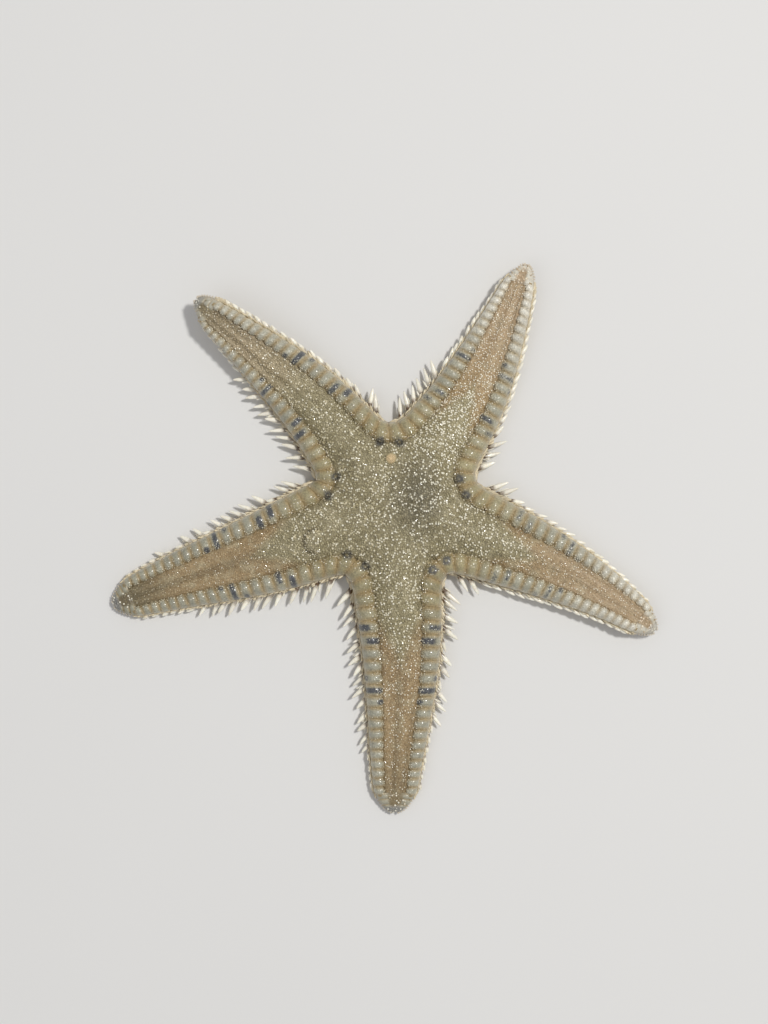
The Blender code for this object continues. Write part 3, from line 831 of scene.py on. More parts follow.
def skin_top(arm, s, a, sizes):
    """Height of the skin over the arm, under its coat, and the crease and the rim of the fold."""
    core = np.maximum(arm.core_width(s), 1e-9)
    v = np.clip(a / core, -1, 1)
    out = s / arm.length
    coat = sizes.coat_depth * mix(1.0, 0.6, smooth(share(out, 0.35, 0.9)))
    strip = 1 - v**6
    sunk = sizes.sunk * smooth(share(out, SUNK_FROM, SUNK_TO)) * (1 - smooth(share(out, 0.8, 1.0)) * 0.6)
    ridge = 1 - sizes.ridge * np.exp(-((v / 0.24) ** 2))
    tucked = 0.7 * np.maximum(0, np.abs(a) - core)
    height = arm.roof(s, v) - coat - sunk * strip * ridge - tucked
    point = arm.place(s, a, height)
    lifted, crease, rim = fold(point, sizes)
    lifted = lifted + 0.09 * MM * wrinkles(arm, s, a) * (1 - v**4)
    return height + lifted + 0.05 * MM * waves(point) * mix(1, 0.4, out), crease, rim


def skin_bottom(arm, s, a, sizes):
    """Height of the underside: flats, a furrow between them, and the pit of the mouth."""
    half = np.maximum(arm.furrow_half(s), 1e-9)
    depth = arm.furrow_depth(s)
    t = np.clip(np.abs(a) / half, 0, 1)
    height = mix(sizes.under_clear, depth, (1 - t**4) ** 0.7)
    pit_s = MOUTH_REACH * math.cos(arm.half_angle)
    pit = 1 - smooth(share(s, pit_s - 0.35 * MM, pit_s))
    return np.maximum(height, mix(height, PIT_HEIGHT, pit))


def grid_faces(rows, columns):
    """Faces of an upper and a lower grid, joined along both sides past the disc and at the end."""
    upper = np.arange(rows * columns).reshape(rows, columns)
    lower = upper + rows * columns
    corner = DISC_ROWS - 1
    bands = [upper, lower[:, ::-1]]
    bands += [np.stack((lower[corner:, c], upper[corner:, c]), 1) for c in (0, -1)]
    bands.append(np.stack((upper[-1], lower[-1]), 0))
    quads = [np.stack((b[:-1, :-1], b[:-1, 1:], b[1:, 1:], b[1:, :-1]), -1) for b in bands]
    return np.concatenate([quad.reshape(-1, 4) for quad in quads])


class SkinMesh:
    """The skin's points and faces, arm by arm, and the values on its points, faces and corners."""

    def __init__(self):
        self.points, self.faces, self.values, self.arms, self.unwraps = [], [], {}, [], []
        self.total = 0

    def add_arm(self, number, arm, sizes):
        reach = INNER_CORNER_REACH + sizes.tuck
        inside = np.linspace(0, reach, DISC_ROWS) * math.cos(arm.half_angle)
        outside = np.linspace(inside[-1], arm.plates_end + UNDER_TIP, ARM_ROWS)[1:]
        s = np.concatenate((inside, outside))[:, None]
        a = np.linspace(-1, 1, SKIN_COLUMNS)[None, :] * arm.side_line(s, reach, -sizes.tuck)
        s = np.broadcast_to(s, a.shape)
        top, crease, rim = skin_top(arm, s, a, sizes)
        place = arm.place(s, a, top)
        below = arm.place(s, a, skin_bottom(arm, s, a, sizes))
        faces = grid_faces(*a.shape)
        girth = a * (1 + 0.15 * share(s, arm.corner_s, arm.corner_s + 3 * MM))
        unwrap = np.stack((0.01 + s / UNWRAP_SPAN, 0.5 + girth / UNWRAP_SPAN), -1).reshape(-1, 2)
        self.note_looks(arm, s, a, place, crease, rim)
        self.points += [place.reshape(-1, 3), below.reshape(-1, 3)]
        self.faces.append(faces + self.total)
        self.arms.append(np.full(len(faces), float(number)))
        self.unwraps.append(np.concatenate((unwrap, unwrap))[faces.ravel()])
        self.total += 2 * a.size

    def note_looks(self, arm, s, a, place, crease, rim):
        """Notes the values that finishes and grains read: most of them are 0 on the underside."""
        out, core = s / arm.length, arm.core_width(s)
        side = np.abs(a) / np.maximum(core, 1e-9)
        bare = smooth(share(out + 0.14 * np.clip(side, 0, 1), SUNK_FROM, SUNK_TO)) * BARE_SHARE[arm.name]
        kept = mix(0.45, 0.8, BARE_GRAINS[arm.name])
        from_sieve = np.linalg.norm(place[..., :2] - (DISC_CENTRE + SIEVE_PLATE_AT)[:2], axis=-1)
        clear = from_sieve > SIEVE_RADIUS - SIEVE_OVERLAP
        above = {
            "coat": clear & (np.abs(a) < core + 0.18 * MM),
            "dense": mix(1.0, BARE_GRAINS[arm.name], bare),
            "streak": bare * STREAKS[arm.name],
            "faded": fading(arm, s, PALE_SKIN, 0.42, 0.82),
            "rim": rim,
            "grey": GREY_ENDS[arm.name] * smooth(share(out, 0.72, 0.95)),
            "gleam": mix(1.0, GLEAMS[arm.name], smooth(share(s, 3 * MM, 15 * MM))),
            "swell": mix(1.0, kept, bare) * mix(1.0, 0.76, smooth(share(out, 0.35, 1.0))),
            "bare": bare,
            "side": np.clip(side, 0, 1.2),
            "crease": crease,
            "under": a * 0,
        }
        below = {"side": above["side"], "under": a * 0 + 1}
        for key, value in above.items():
            self.note(key, value, below.get(key, a * 0))

    def note(self, key, upper, lower):
        both = np.concatenate((np.asarray(upper, float).ravel(), np.asarray(lower, float).ravel()))
        self.values.setdefault(key, []).append(both)

    def object(self, name):
        mesh = bpy.data.meshes.new(name)
        mesh.from_pydata(np.concatenate(self.points), [], np.concatenate(self.faces).tolist())
        for key, value in self.values.items():
            store(mesh, key, np.concatenate(value))
        store(mesh, "arm", np.concatenate(self.arms), domain="FACE")
        store(mesh, "unwrap", np.concatenate(self.unwraps), "FLOAT2", "CORNER")
        return finished_object(name, mesh, merge=0.001 * MM)


# How far over the first plates the ring spots lie, where they don't lie at the plates' inner ends
SPOT_ACROSS = {("upper_right", -1): 0.2, ("right", 1): 0.2, ("right", -1): 0.3, ("lower", 1): 0.3}

# The middle of the dark patch beside the disc's middle
DUSK_AT = (4.2 * MM, 5.8 * MM, 0)


def spot_distance(f, flatten):
    """Distance from the nearest of the ring spots, one at the inner end of each arm's first plates."""
    nearest = None
    for arm in ARMS:
        station = plate_stations(arm)[1]
        for side in SIDES:
            spot = row_point(arm, side, station, SPOT_ACROSS.get((arm.name, side), 0.0), EDGE_SHARE)
            away = f.vector("SUBTRACT", f.place, tuple(spot))
            away = f.vector("LENGTH", f.vector("MULTIPLY", away, flatten), output=1)
            nearest = away if nearest is None else nearest.least(away)
    return nearest


def ring_spots(f):
    """1 on the dark rings at the corners between the arms, 0 off them."""
    broad, fine = f.noise(1.1 * MM, 2), f.noise(0.3 * MM, 3)
    away = spot_distance(f, (1, 1, 0.3)) + (broad - 0.5) * (0.6 * MM) + (fine - 0.5) * (0.7 * MM)
    return away.steps(0.05 * MM, 0.4 * MM, 0.3, 1.0) * (1 - away.steps(0.3 * MM, 1.0 * MM))


def body_colour(f, look):
    """The markings that the skin and its grains share."""
    side, bare = f.carried("side"), f.carried("bare")
    broad, cloudy = f.noise(5 * MM, 3), f.noise(1.5 * MM, 3)
    bare = (bare + (broad - 0.5) * 0.5).steps(0.1, 0.7)
    # Painted light and shade: each arm's colour is scaled by its gleam, lighter on the arms that face the
    # key light
    base = f.tinted(f.blend(look.olive, look.tan, bare), f.carried("gleam") * 0.3 + 0.7)
    base = f.blend(base, look.pale, (cloudy - 0.4).steps(0.05, 0.3) * 0.5)
    base = f.blend(base, look.shadow, (0.46 - cloudy).steps(0.05, 0.3) * 0.4)
    patch = f.vector("MULTIPLY", f.vector("SUBTRACT", f.place, DUSK_AT), (1.25, 0.8, 0))
    patch = f.vector("LENGTH", patch, output=1) + (broad - 0.5) * (3 * MM)
    base = f.blend(base, look.dusk, (1 - patch.steps(0.5 * MM, 6.6 * MM)) * 0.82)
    middle = (side + (cloudy - 0.5) * 0.2).steps(0.08, 0.42)
    base = f.blend(base, look.shadow, (1 - middle) * f.carried("streak") * 0.42)
    # Painted shade along the skin's edge, where it runs in under the plates
    base = f.blend(base, look.shadow, side.steps(0.84, 1.06) * 0.2)
    base = f.blend(base, look.blush, f.carried("faded"))
    base = f.blend(base, look.dusk, f.carried("grey"))
    base = f.blend(base, look.slate, ring_spots(f) * 0.85)
    # Painted highlight along the rim of the fold
    base = f.blend(base, look.pale, f.carried("rim") * 0.65)
    # Painted shadow along the fold's crease
    return f.blend(base, look.shadow, f.carried("crease") * 0.42)


def skin_finish(look):
    f = Finish("Skin")
    fine, grit = f.noise(0.22 * MM, 3), f.cells(0.26 * MM)
    lot = f.add("ShaderNodeSeparateColor", None, (f.cells(0.26 * MM, output=1),))
    base = f.tinted(body_colour(f, look), 0.44 + fine * 0.5 + lot * 0.2)
    knob = (1 - grit.steps(0.15, 0.5)) * lot.steps(0.45, 0.8) * 0.5
    base = f.blend(base, look.pale, knob)
    base = f.blend(base, f.tinted(look.under, 0.7 + fine * 0.5), f.carried("under"))
    normal = f.relief(fine * 0.5 - grit, 0.12 * MM)
    return f.close(base, 0.44 + fine * 0.2, normal, coat=0.12, coat_roughness=0.35)


def grain_finish(look, grains):
    f = Finish("Grains")
    rise, grain = f.carried("rise"), f.carried("grain")
    fine, clump = f.noise(0.09 * MM, 2), f.noise(0.6 * MM, 2)
    base = f.tinted(body_colour(f, look), 0.64 + grain * 0.7)
    bright = (grain * f.carried("gleam") + (clump - 0.5) * 1.7).steps(0.62, 1.08)
    bright = bright * (1 - ring_spots(f) * 0.85)
    # The grains' own pale tips with painted glints on their heads, more of them where the arm carries more
    # gleam
    base = f.blend(base, grains.gleam, rise.steps(0.66, 0.95) * (0.05 + bright * 0.85))
    # Painted shade at the grains' feet, down between them
    base = f.blend(f.blend(base, grains.shade, 0.72), base, rise.steps(0.05, 0.6))
    base = f.tinted(base, 0.85 + fine * 0.3)
    return f.close(base, 0.26 + fine * 0.15, f.relief(fine, 0.02 * MM), coat=1.0, coat_roughness=0.1)


# (radius, height, how uneven) of a grain's rings, and (radius, height) of a granule's
GRAIN_PROFILE = (
    (0.75, -0.8, 0.0), (0.8, 0.1, 0.0), (1.0, 0.45, 0.12), (0.88, 0.8, 0.12), (0.46, 1.0, 0.08),
)
PEBBLE_PROFILE = ((0.8, -0.4), (1.0, 0.25), (0.8, 0.75), (0.35, 1.0))


def table_grain(name, sides=6):
    """A grain: a short neck under an uneven, many-sided head, one unit wide and high."""
    draw = random.Random(name)
    turn = round_turn(sides)
    rings = []
    for radius, height, uneven in GRAIN_PROFILE:
        reach = radius * np.array([1 + draw.uniform(-uneven, uneven) for _ in turn])
        level = height + np.array([draw.uniform(-uneven, uneven) for _ in turn]) * 0.6
        rings.append(circle(turn, reach, level))
    rings = np.array(rings)
    return tufted(name, rings, np.clip(rings[..., 2], 0, 1))


def tufted(name, rings, rise):
    """A hidden shape for scattering: each point knows its height and its place on a patch."""
    made = helper(name, rings, rise=rise)
    store(made.data, "tuft", rings / TUFT_WIDTH * (1, 1, 0), "FLOAT_VECTOR")
    return made


class PieceOperator:
    """What the operators share: each makes its pieces from the scene's settings."""

    bl_options = {"REGISTER", "UNDO"}

    def execute(self, context):
        self.make(context.scene.sand_star)
        return {"FINISHED"}


class SANDSTAR_OT_skin(PieceOperator, bpy.types.Operator):
    """Make the one skin over the disc and the arms"""

    bl_idname = "sand_star.skin"
    bl_label = "Skin"

    def make(self, settings):
        shell = SkinMesh()
        for number, arm in enumerate(ARMS):
            shell.add_arm(number, arm, settings.skin)
        made = shell.object("star_skin")
        flesh = ["disc"] + ["arm_" + arm.name for arm in ARMS]
        hand_over(made, skin_finish(settings.skin), "skin", *flesh)


class SANDSTAR_OT_grains(PieceOperator, bpy.types.Operator):
    """Scatter the table-topped grains over the skin"""

    bl_idname = "sand_star.grains"
    bl_label = "Grains"

    def make(self, settings):
        look = settings.grains
        skin = bpy.data.objects["star_skin"]
        shape = table_grain("grain_shape")
        material = grain_finish(settings.skin, look)
        keys = ("spacing", "density", "radius", "height", "tilt", "seed")
        sizes = {key: getattr(look, key) for key in keys}
        for number, arm in enumerate(ARMS):
            made = scattered("grains_" + arm.name, skin, shape, material, number, **sizes)
            hand_over(made, material, "skin")
        remove(shape)


# Sections of the upper plate, of the lower one and of the bed between them, once round:
# (share of the row's width, share of its height)
UPPER_SECTION = (
    (-0.08, 0.66), (-0.03, 0.82), (0.06, 0.93), (0.22, 1.0), (0.42, 1.02), (0.62, 0.985),
    (0.80, 0.88), (0.93, 0.72), (0.975, 0.58), (0.94, 0.485), (0.78, 0.44), (0.35, 0.46),
)
LOWER_SECTION = (
    (0.55, 0.40), (0.88, 0.43), (0.985, 0.40), (1.035, 0.31), (1.01, 0.19), (0.93, 0.07),
    (0.82, 0.012), (0.45, 0.006), (0.10, 0.01), (0.01, 0.07), (0.10, 0.17), (0.35, 0.28),
)
BED_SECTION = (
    (0.05, 0.60), (0.08, 0.78), (0.26, 0.885), (0.55, 0.875), (0.78, 0.75), (0.88, 0.58),
    (0.875, 0.45), (0.93, 0.34), (0.90, 0.14), (0.78, 0.06), (0.10, 0.06), (0.04, 0.3),
)
PLATE_RINGS = 11
PLATE_POINTS = 18
BED_RINGS = 90
BED_POINTS = 20


def round_section(corners, points):
    """Points on a smooth closed curve through the corners, as many as points says."""
    corners = np.array(corners)
    many = len(corners)
    t = np.arange(points) * many / points
    k = t.astype(int)
    f = (t - k)[:, None]
    p0, p1, p2, p3 = (corners[(k + step) % many] for step in (-1, 0, 1, 2))
    bend = 2 * p0 - 5 * p1 + 4 * p2 - p3
    twist = 3 * p1 - p0 - 3 * p2 + p3
    return 0.5 * (2 * p1 + (p2 - p0) * f + bend * f**2 + twist * f**3)


def plate_rings(arm, side, start, stop, section, depth):
    """Rings of one plate between two grooves, and their distance x from its middle, from -1 to 1.

    The plate falls towards both grooves, most of all at its inner end, which is rounded off.
    """
    x = np.sin(np.linspace(-math.pi / 2, math.pi / 2, PLATE_RINGS))
    x = np.concatenate(([-1.0], x, [1.0]))
    across, up = section[:, 0], section[:, 1]
    inner = 1 - smooth(share(across, -0.05, 0.3))
    fall = depth * np.abs(x)[:, None] ** 1.7
    fall[[0, -1]] = 1.2 * depth
    centre = section.mean(axis=0)
    across = across + (centre[0] - across) * fall * (0.2 + 0.45 * inner)
    up = up + (centre[1] - up) * fall * (1 + 0.5 * inner)
    points = np.stack((across, up), -1)
    s = mix(start, stop, 0.5 + 0.5 * x)
    return row_point(arm, side, s[:, None], points[..., 0], points[..., 1]), x, points


# The dark bars: on which plates of each side, counted from the disc, and from which share of the
# plate's width to which
MARKED = {4: (0.35, 1.1), 5: (-0.1, 0.75), 8: (0.72, 1.1), 9: (-0.1, 1.1), 10: (-0.1, 0.3)}
FAINT_MARKS = {"right": 0.7, "upper_right": 0.8}


def plate_mark(arm, k, across, x, draw):
    """How dark the plate is across its width and along the arm."""
    if k not in MARKED:
        return across * 0
    low, high = (edge + draw.uniform(-0.1, 0.1) for edge in MARKED[k])
    mark = smooth(share(across, low - 0.2, low + 0.2))
    mark = mark * (1 - smooth(share(across, high - 0.2, high + 0.2)))
    mark = mark * (1 - smooth(share(np.abs(x)[:, None], 0.1, 0.9)))
    return mark * draw.uniform(0.85, 1.1) * FAINT_MARKS.get(arm.name, 1.0)


def plate_body(shell, arm, side, k, stations, section, depth, draw, coat_above=math.inf):
    """Adds the kth plate of a row. Granules may grow above coat_above, a share of the row's height."""
    start, stop = stations[2 * k], stations[2 * k + 2]
    middle = mix(start, stop, 0.5)
    rings, x, points = plate_rings(arm, side, start, stop, section, depth)
    across, up = points[..., 0], points[..., 1]
    face = np.abs(x)[:, None] < 0.97
    shell.loft(
        rings,
        out=middle / arm.length,
        across=across,
        up=up,
        ends=np.abs(x)[:, None],
        # The plate's own random tone plus its arm's painted shading, darker on the arms away from the key
        # light
        tone=draw.random() + PLATE_SHADING[arm.name],
        mark=plate_mark(arm, k, across, x, draw),
        faded=fading(arm, middle),
        brown=browning(arm, middle),
        coat=face & (up > coat_above) & (across > -0.02),
        dense=mix(1.0, 0.14, smooth(share(across, 0.1, 0.5))),
        swell=mix(1.0, 0.75, start / arm.length) * mix(1.25, 0.8, smooth(share(across, 0.05, 0.5))),
        arm=0.0,
    )


def plate_colour(f, look):
    """The markings that the upper plates and their granules share."""
    out, across, ends, tone = (f.carried(key) for key in ("out", "across", "ends", "tone"))
    cloudy, fine = f.noise(0.9 * MM, 3), f.noise(0.24 * MM, 3)
    base = f.blend(look.khaki, look.sage, (out + (cloudy - 0.5) * 0.12).steps(0.26, 0.48))
    base = f.blend(base, look.faded, f.carried("faded"))
    # tone brings the arm's painted shading along with the plate's own random tone
    base = f.tinted(base, 0.86 + tone * 0.2 + (cloudy - 0.5) * 0.4)
    groove = (ends + (cloudy - 0.5) * 0.4 + (fine - 0.5) * 0.3).steps(0.2, 0.95)
    base = f.blend(base, look.ochre, groove * (0.8 - f.carried("faded") * 0.45))
    base = f.blend(base, look.ochre, (1 - (across + (fine - 0.5) * 0.2).steps(-0.05, 0.22)) * 0.35)
    base = f.blend(base, look.cream, across.steps(0.8, 1.0) * 0.4)
    dark = (f.carried("mark") + (cloudy - 0.5) * 0.5 + (fine - 0.5) * 1.1).steps(0.3, 0.9)
    base = f.blend(base, look.slate, dark * 0.9)
    return f.blend(base, look.slate, ring_spots(f) * 0.85)


def plate_finish(look):
    f = Finish("Upper plates")
    fine, grit, uneven = f.noise(0.12 * MM, 2), f.cells(0.25 * MM), f.noise(0.5 * MM, 2)
    base = f.tinted(plate_colour(f, look), 1.16 - grit * 0.5 + (fine - 0.5) * 0.3)
    normal = f.relief(fine * 0.5 - grit * 0.8 + uneven * 1.6, 0.1 * MM)
    return f.close(base, 0.3 + fine * 0.16, normal, coat=0.8, coat_roughness=0.14)


def granule_finish(look, gleam):
    f = Finish("Granules")
    rise, grain = f.carried("rise"), f.carried("grain")
    fine = f.noise(0.06 * MM, 2)
    base = f.tinted(plate_colour(f, look), 0.8 + grain * 0.5)
    bright = (0.2 + grain.steps(0.4, 0.9) * 0.7) * (1 - ring_spots(f) * 0.85)
    # The granules' own pale tips with painted glints on their heads
    base = f.blend(base, gleam, rise.steps(0.4, 0.95) * bright)
    return f.close(base, 0.26 + fine * 0.16, f.relief(fine, 0.02 * MM), coat=1.0, coat_roughness=0.1)


def bed_finish(look):
    f = Finish("Plate bed")
    fine, cloudy = f.noise(0.15 * MM, 3), f.noise(0.8 * MM, 2)
    base = f.tinted(f.blend(look.ochre, look.amber, cloudy * 0.2), 0.7 + fine * 0.5)
    return f.close(base, 0.4 + fine * 0.2, f.relief(fine, 0.06 * MM), coat=0.3)


def pebble(name, sides=6):
    """A granule: a low rounded knob, one unit wide and high."""
    rings = turned_rings(PEBBLE_PROFILE, sides)
    return tufted(name, rings, np.clip(rings[..., 2], 0, 1))


# The granules: the distance between two as a multiple of their radius, then the most of them on each
# square metre, how far one leans, and what draws their places
GRANULE_SPACING = 2.4
GRANULES = {"density": 3.0e7, "tilt": 0.3, "seed": 3}


class SANDSTAR_OT_upper_plates(PieceOperator, bpy.types.Operator):
    """Make the upper row of plates along both sides of each arm, their granules and their bed"""

    bl_idname = "sand_star.upper_plates"
    bl_label = "Upper plates"

    def make(self, settings):
        look = settings.plates
        section = round_section(UPPER_SECTION, PLATE_POINTS)
        bed_section = round_section(BED_SECTION, BED_POINTS)
        material, bed_material = plate_finish(look), bed_finish(look)
        grit_material = granule_finish(look, settings.grains.gleam)
        grit = pebble("granule_shape")
        sizes = {"radius": look.grit, "height": look.grit, "spacing": GRANULE_SPACING * look.grit}
        sizes.update(GRANULES)
        for arm in ARMS:
            shell, bed = Shell(), Shell()
            stations = plate_stations(arm)
            draw = random.Random("upper plates " + arm.name)
            s = np.linspace(stations[0], stations[-1] + 0.2 * MM, BED_RINGS)[:, None]
            for side in SIDES:
                for k in range(PLATES_PER_SIDE):
                    plate_body(shell, arm, side, k, stations, section, look.groove, draw, coat_above=0.6)
                bed.loft(row_point(arm, side, s, bed_section[:, 0], bed_section[:, 1]))
            plates = shell.object("upper_plates_" + arm.name)
            self.add_unwrap(plates)
            granules = scattered("granules_" + arm.name, plates, grit, grit_material, **sizes)
            nodes = [f"margin_{arm.name}_{word}" for word in SIDES.values()]
            hand_over(plates, material, "plates", *nodes)
            hand_over(granules, grit_material, "plates")
            hand_over(bed.object("plate_bed_" + arm.name), bed_material, "skin")
        remove(grit)

    def add_unwrap(self, plates):
        """Lays the plates out flat in rows: along the arm, and round the section."""
        rings = PLATE_RINGS + 2
        index = np.arange(len(plates.data.vertices))
        point, ring = index % PLATE_POINTS, index // PLATE_POINTS % rings
        row, plate = np.divmod(index // (rings * PLATE_POINTS), PLATES_PER_SIDE)
        u = 0.02 + (plate + ring / rings) * 0.96 / PLATES_PER_SIDE
        v = 0.02 + row * 0.5 + point / PLATE_POINTS * 0.46
        store(plates.data, "unwrap", np.stack((u, v, u * 0), -1), "FLOAT_VECTOR")


def lower_plate_finish(look):
    f = Finish("Lower plates")
    across, up, ends = (f.carried(key) for key in ("across", "up", "ends"))
    cloudy, fine, grit = f.noise(0.7 * MM, 3), f.noise(0.1 * MM, 2), f.cells(0.2 * MM)
    # tone brings the arm's painted shading along with the plate's own random tone
    base = f.tinted(look.cream, 0.78 + f.carried("tone") * 0.2 + (cloudy - 0.5) * 0.4)
    roots = (1 - abs(up - SPINE_LEVEL).steps(0.02, 0.14)) * across.steps(0.8, 0.95)
    base = f.blend(base, look.amber, roots * (1 - ends.steps(0.2, 0.7)) * f.carried("brown") * 0.9)
    base = f.blend(base, look.ochre, (ends + (cloudy - 0.5) * 0.5).steps(0.55, 1.0) * 0.8)
    base = f.tinted(base, 0.75 + grit * 0.4)
    normal = f.relief(grit * 0.7 + fine * 0.5, 0.06 * MM)
    return f.close(base, 0.34 + fine * 0.2, normal, coat=0.3, coat_roughness=0.15)


def scale_finish(look):
    f = Finish("Scales")
    along, tone, fine = f.carried("along"), f.carried("tone"), f.noise(0.12 * MM, 2)
    feet = (1 - along.steps(0.0, 0.35, 0.35, 1.0)) * f.carried("brown")
    base = f.tinted(f.blend(look.cream, look.amber, feet), 0.8 + tone * 0.3 + fine * 0.2)
    return f.close(base, 0.3 + fine * 0.2, f.relief(fine, 0.03 * MM), coat=0.5, coat_roughness=0.15)


def spine_finish(look):
    f = Finish("Spines")
    along, tone = f.carried("along"), f.carried("tone")
    fine, streak = f.noise(0.12 * MM, 2), f.noise(0.5 * MM, 2)
    brown = (1 - (along + (streak - 0.5) * 0.3).steps(0.1, 0.42)) * f.carried("brown")
    base = f.blend(look.white, look.brown, brown)
    base = f.blend(base, look.grey, (streak - 0.4).steps(0.1, 0.4) * 0.5)
    base = f.tinted(base, 0.84 + tone * 0.16 + fine * 0.12)
    normal = f.relief(fine + streak * 0.6, 0.04 * MM)
    deep = {"subsurface_weight": 0.2, "subsurface_scale": 0.3 * MM, "subsurface_radius": (1.0, 0.85, 0.7)}
    return f.close(base, 0.28 + fine * 0.16, normal, coat=0.4, coat_roughness=0.15, **deep)


# (radius, height) of the rings of a spine and of a scale
SPINE_PROFILE = (
    (0.40, -0.08), (0.50, 0.06), (0.50, 0.30), (0.45, 0.55), (0.34, 0.76), (0.20, 0.91), (0.07, 1.0),
)
SCALE_PROFILE = ((0.34, -0.10), (0.46, 0.15), (0.50, 0.45), (0.44, 0.75), (0.20, 1.0))


# The small spines under each side spine: (level on the plate, shift along the arm as a share of half
# a plate), and their width and thickness at the arm's root
SMALL_SPINES = ((0.26, -0.42), (0.22, 0.4), (0.37, -0.5))
SMALL_WIDTH, SMALL_THICKNESS = 0.46 * MM, 0.26 * MM

# The rows of scales on a lower plate: (place across, level, lean upwards). Then how many lie in a
# row, and the width, thickness and length of one
SCALE_ROWS = ((0.90, 0.47, 0.2), (0.94, 0.36, 0.1), (0.94, 0.24, 0), (0.90, 0.13, -0.1))
SCALES_IN_ROW = 4
SCALE_SIZE = np.array((0.4, 0.12, 1.15)) * MM


def pointed_shape(name, profile, sides, bend=0.0):
    """A spine, scale or foot, one unit wide, thick and long, that knows how far along it is."""
    rings = turned_rings(profile, sides, bend)
    return helper(name, rings, along=np.repeat(np.clip(rings[:, :1, 2], 0, 1), sides, axis=1))


def spine_frame(arm, side, s, level):
    """The root at s on the plates' outer side, and the directions out of the arm and along it."""
    outer = plate_line(arm, s)[1][0]
    height = level * arm.crown(s)
    root = arm.place(outer, side * arm.outer_width(outer), height)
    step = 0.2 * MM
    along = arm.place(outer + step, side * arm.outer_width(outer + step), height) - root
    return root, unit(np.cross(along, UP) * -side), unit(along)


def side_spines(arm, side, word, sizes, spines, small):
    """Draws the spines of one side of an arm, and the smaller ones beneath them."""
    stations = plate_stations(arm)
    draw = random.Random(f"{arm.name} {word}")
    extra = random.Random(f"small spines {arm.name} {word}")
    for k in range(1, PLATES_PER_SIDE - 1):
        s = stations[2 * k + 1]
        way_out = k / PLATES_PER_SIDE
        stands = way_out < arm.open_share[side] and draw.random() < STANDING_SHARE
        sweep = math.radians(draw.uniform(*(STANDING_SWEEP if stands else FOLDED_SWEEP)))
        dip = math.radians(draw.uniform(*SPINE_DIP))
        long = mix(SPINE_LENGTH_ROOT, SPINE_LENGTH_END, way_out) * draw.uniform(*SPINE_VARIES)
        if not stands:
            long *= FOLDED_SHARE
        scale = mix(1.0, 1 - SPINE_NARROWING, way_out) * extra.uniform(0.75, 1.05)
        pitch = (stations[2 * k + 2] - stations[2 * k]) / 2
        s = s + extra.uniform(-0.35, 0.35) * pitch
        root, outward, along = spine_frame(arm, side, s, SPINE_LEVEL)
        ahead = spine_direction(outward, along, sweep, dip)
        size = (sizes.width * scale, sizes.thickness * scale, long)
        brown = browning(arm, s)
        spines.add(root, ahead, unit(np.cross(UP, ahead)), size, tone=extra.random(), brown=brown)
        for level, shift in SMALL_SPINES:
            root, outward, along = spine_frame(arm, side, s + shift * pitch, level)
            swept = sweep + math.radians(extra.uniform(-18, 14))
            ahead = spine_direction(outward, along, swept, math.radians(extra.uniform(-4, 9)))
            size = np.array((SMALL_WIDTH, SMALL_THICKNESS, long)) * scale
            size[2] *= sizes.small_share * extra.uniform(0.8, 1.25)
            root = root - outward * 0.1 * MM
            small.add(root, ahead, unit(np.cross(UP, ahead)), size, tone=extra.random(), brown=brown)


def spine_direction(outward, along, sweep, dip):
    level = outward * math.cos(sweep) + along * math.sin(sweep)
    return level * math.cos(dip) - UP * math.sin(dip)


def scale_roots(arm, side, word, roots):
    """Rows of flat scales on the outer face of each lower plate."""
    stations = plate_stations(arm)
    draw = random.Random(f"scales {arm.name} {word}")
    for k in range(PLATES_PER_SIDE):
        start, stop = stations[2 * k], stations[2 * k + 2]
        grow = mix(1.0, 0.6, k / PLATES_PER_SIDE)
        for across, up, tilt in SCALE_ROWS:
            for n in range(SCALES_IN_ROW):
                s = mix(start, stop, (n + 0.5) / SCALES_IN_ROW + draw.uniform(-0.03, 0.03))
                outward, along = spine_frame(arm, side, s, up)[1:]
                sweep = math.radians(draw.uniform(58, 80))
                ahead = spine_direction(outward, along, sweep, -tilt - draw.uniform(-0.15, 0.15))
                size = SCALE_SIZE * grow * draw.uniform(0.8, 1.15)
                root = row_point(arm, side, s, across, up)
                roots.add(root, ahead, along, size, tone=draw.random(), brown=browning(arm, s))


class SANDSTAR_OT_lower_plates(PieceOperator, bpy.types.Operator):
    """Make the lower row of plates, which bear the spines, and their flat scales"""

    bl_idname = "sand_star.lower_plates"
    bl_label = "Lower plates"

    def make(self, settings):
        look = settings.plates
        section = round_section(LOWER_SECTION, PLATE_POINTS)
        material, scale_material = lower_plate_finish(look), scale_finish(look)
        shape = pointed_shape("scale_shape", SCALE_PROFILE, 6)
        for arm in ARMS:
            shell, roots = Shell(), Roots()
            stations = plate_stations(arm)
            draw = random.Random("lower plates " + arm.name)
            for side, word in SIDES.items():
                for k in range(PLATES_PER_SIDE):
                    plate_body(shell, arm, side, k, stations, section, look.groove, draw)
                scale_roots(arm, side, word, roots)
            hand_over(shell.object("lower_plates_" + arm.name), material, "plates")
            hand_over(roots.plant("scales_" + arm.name, shape, scale_material), scale_material, "plates")
        remove(shape)


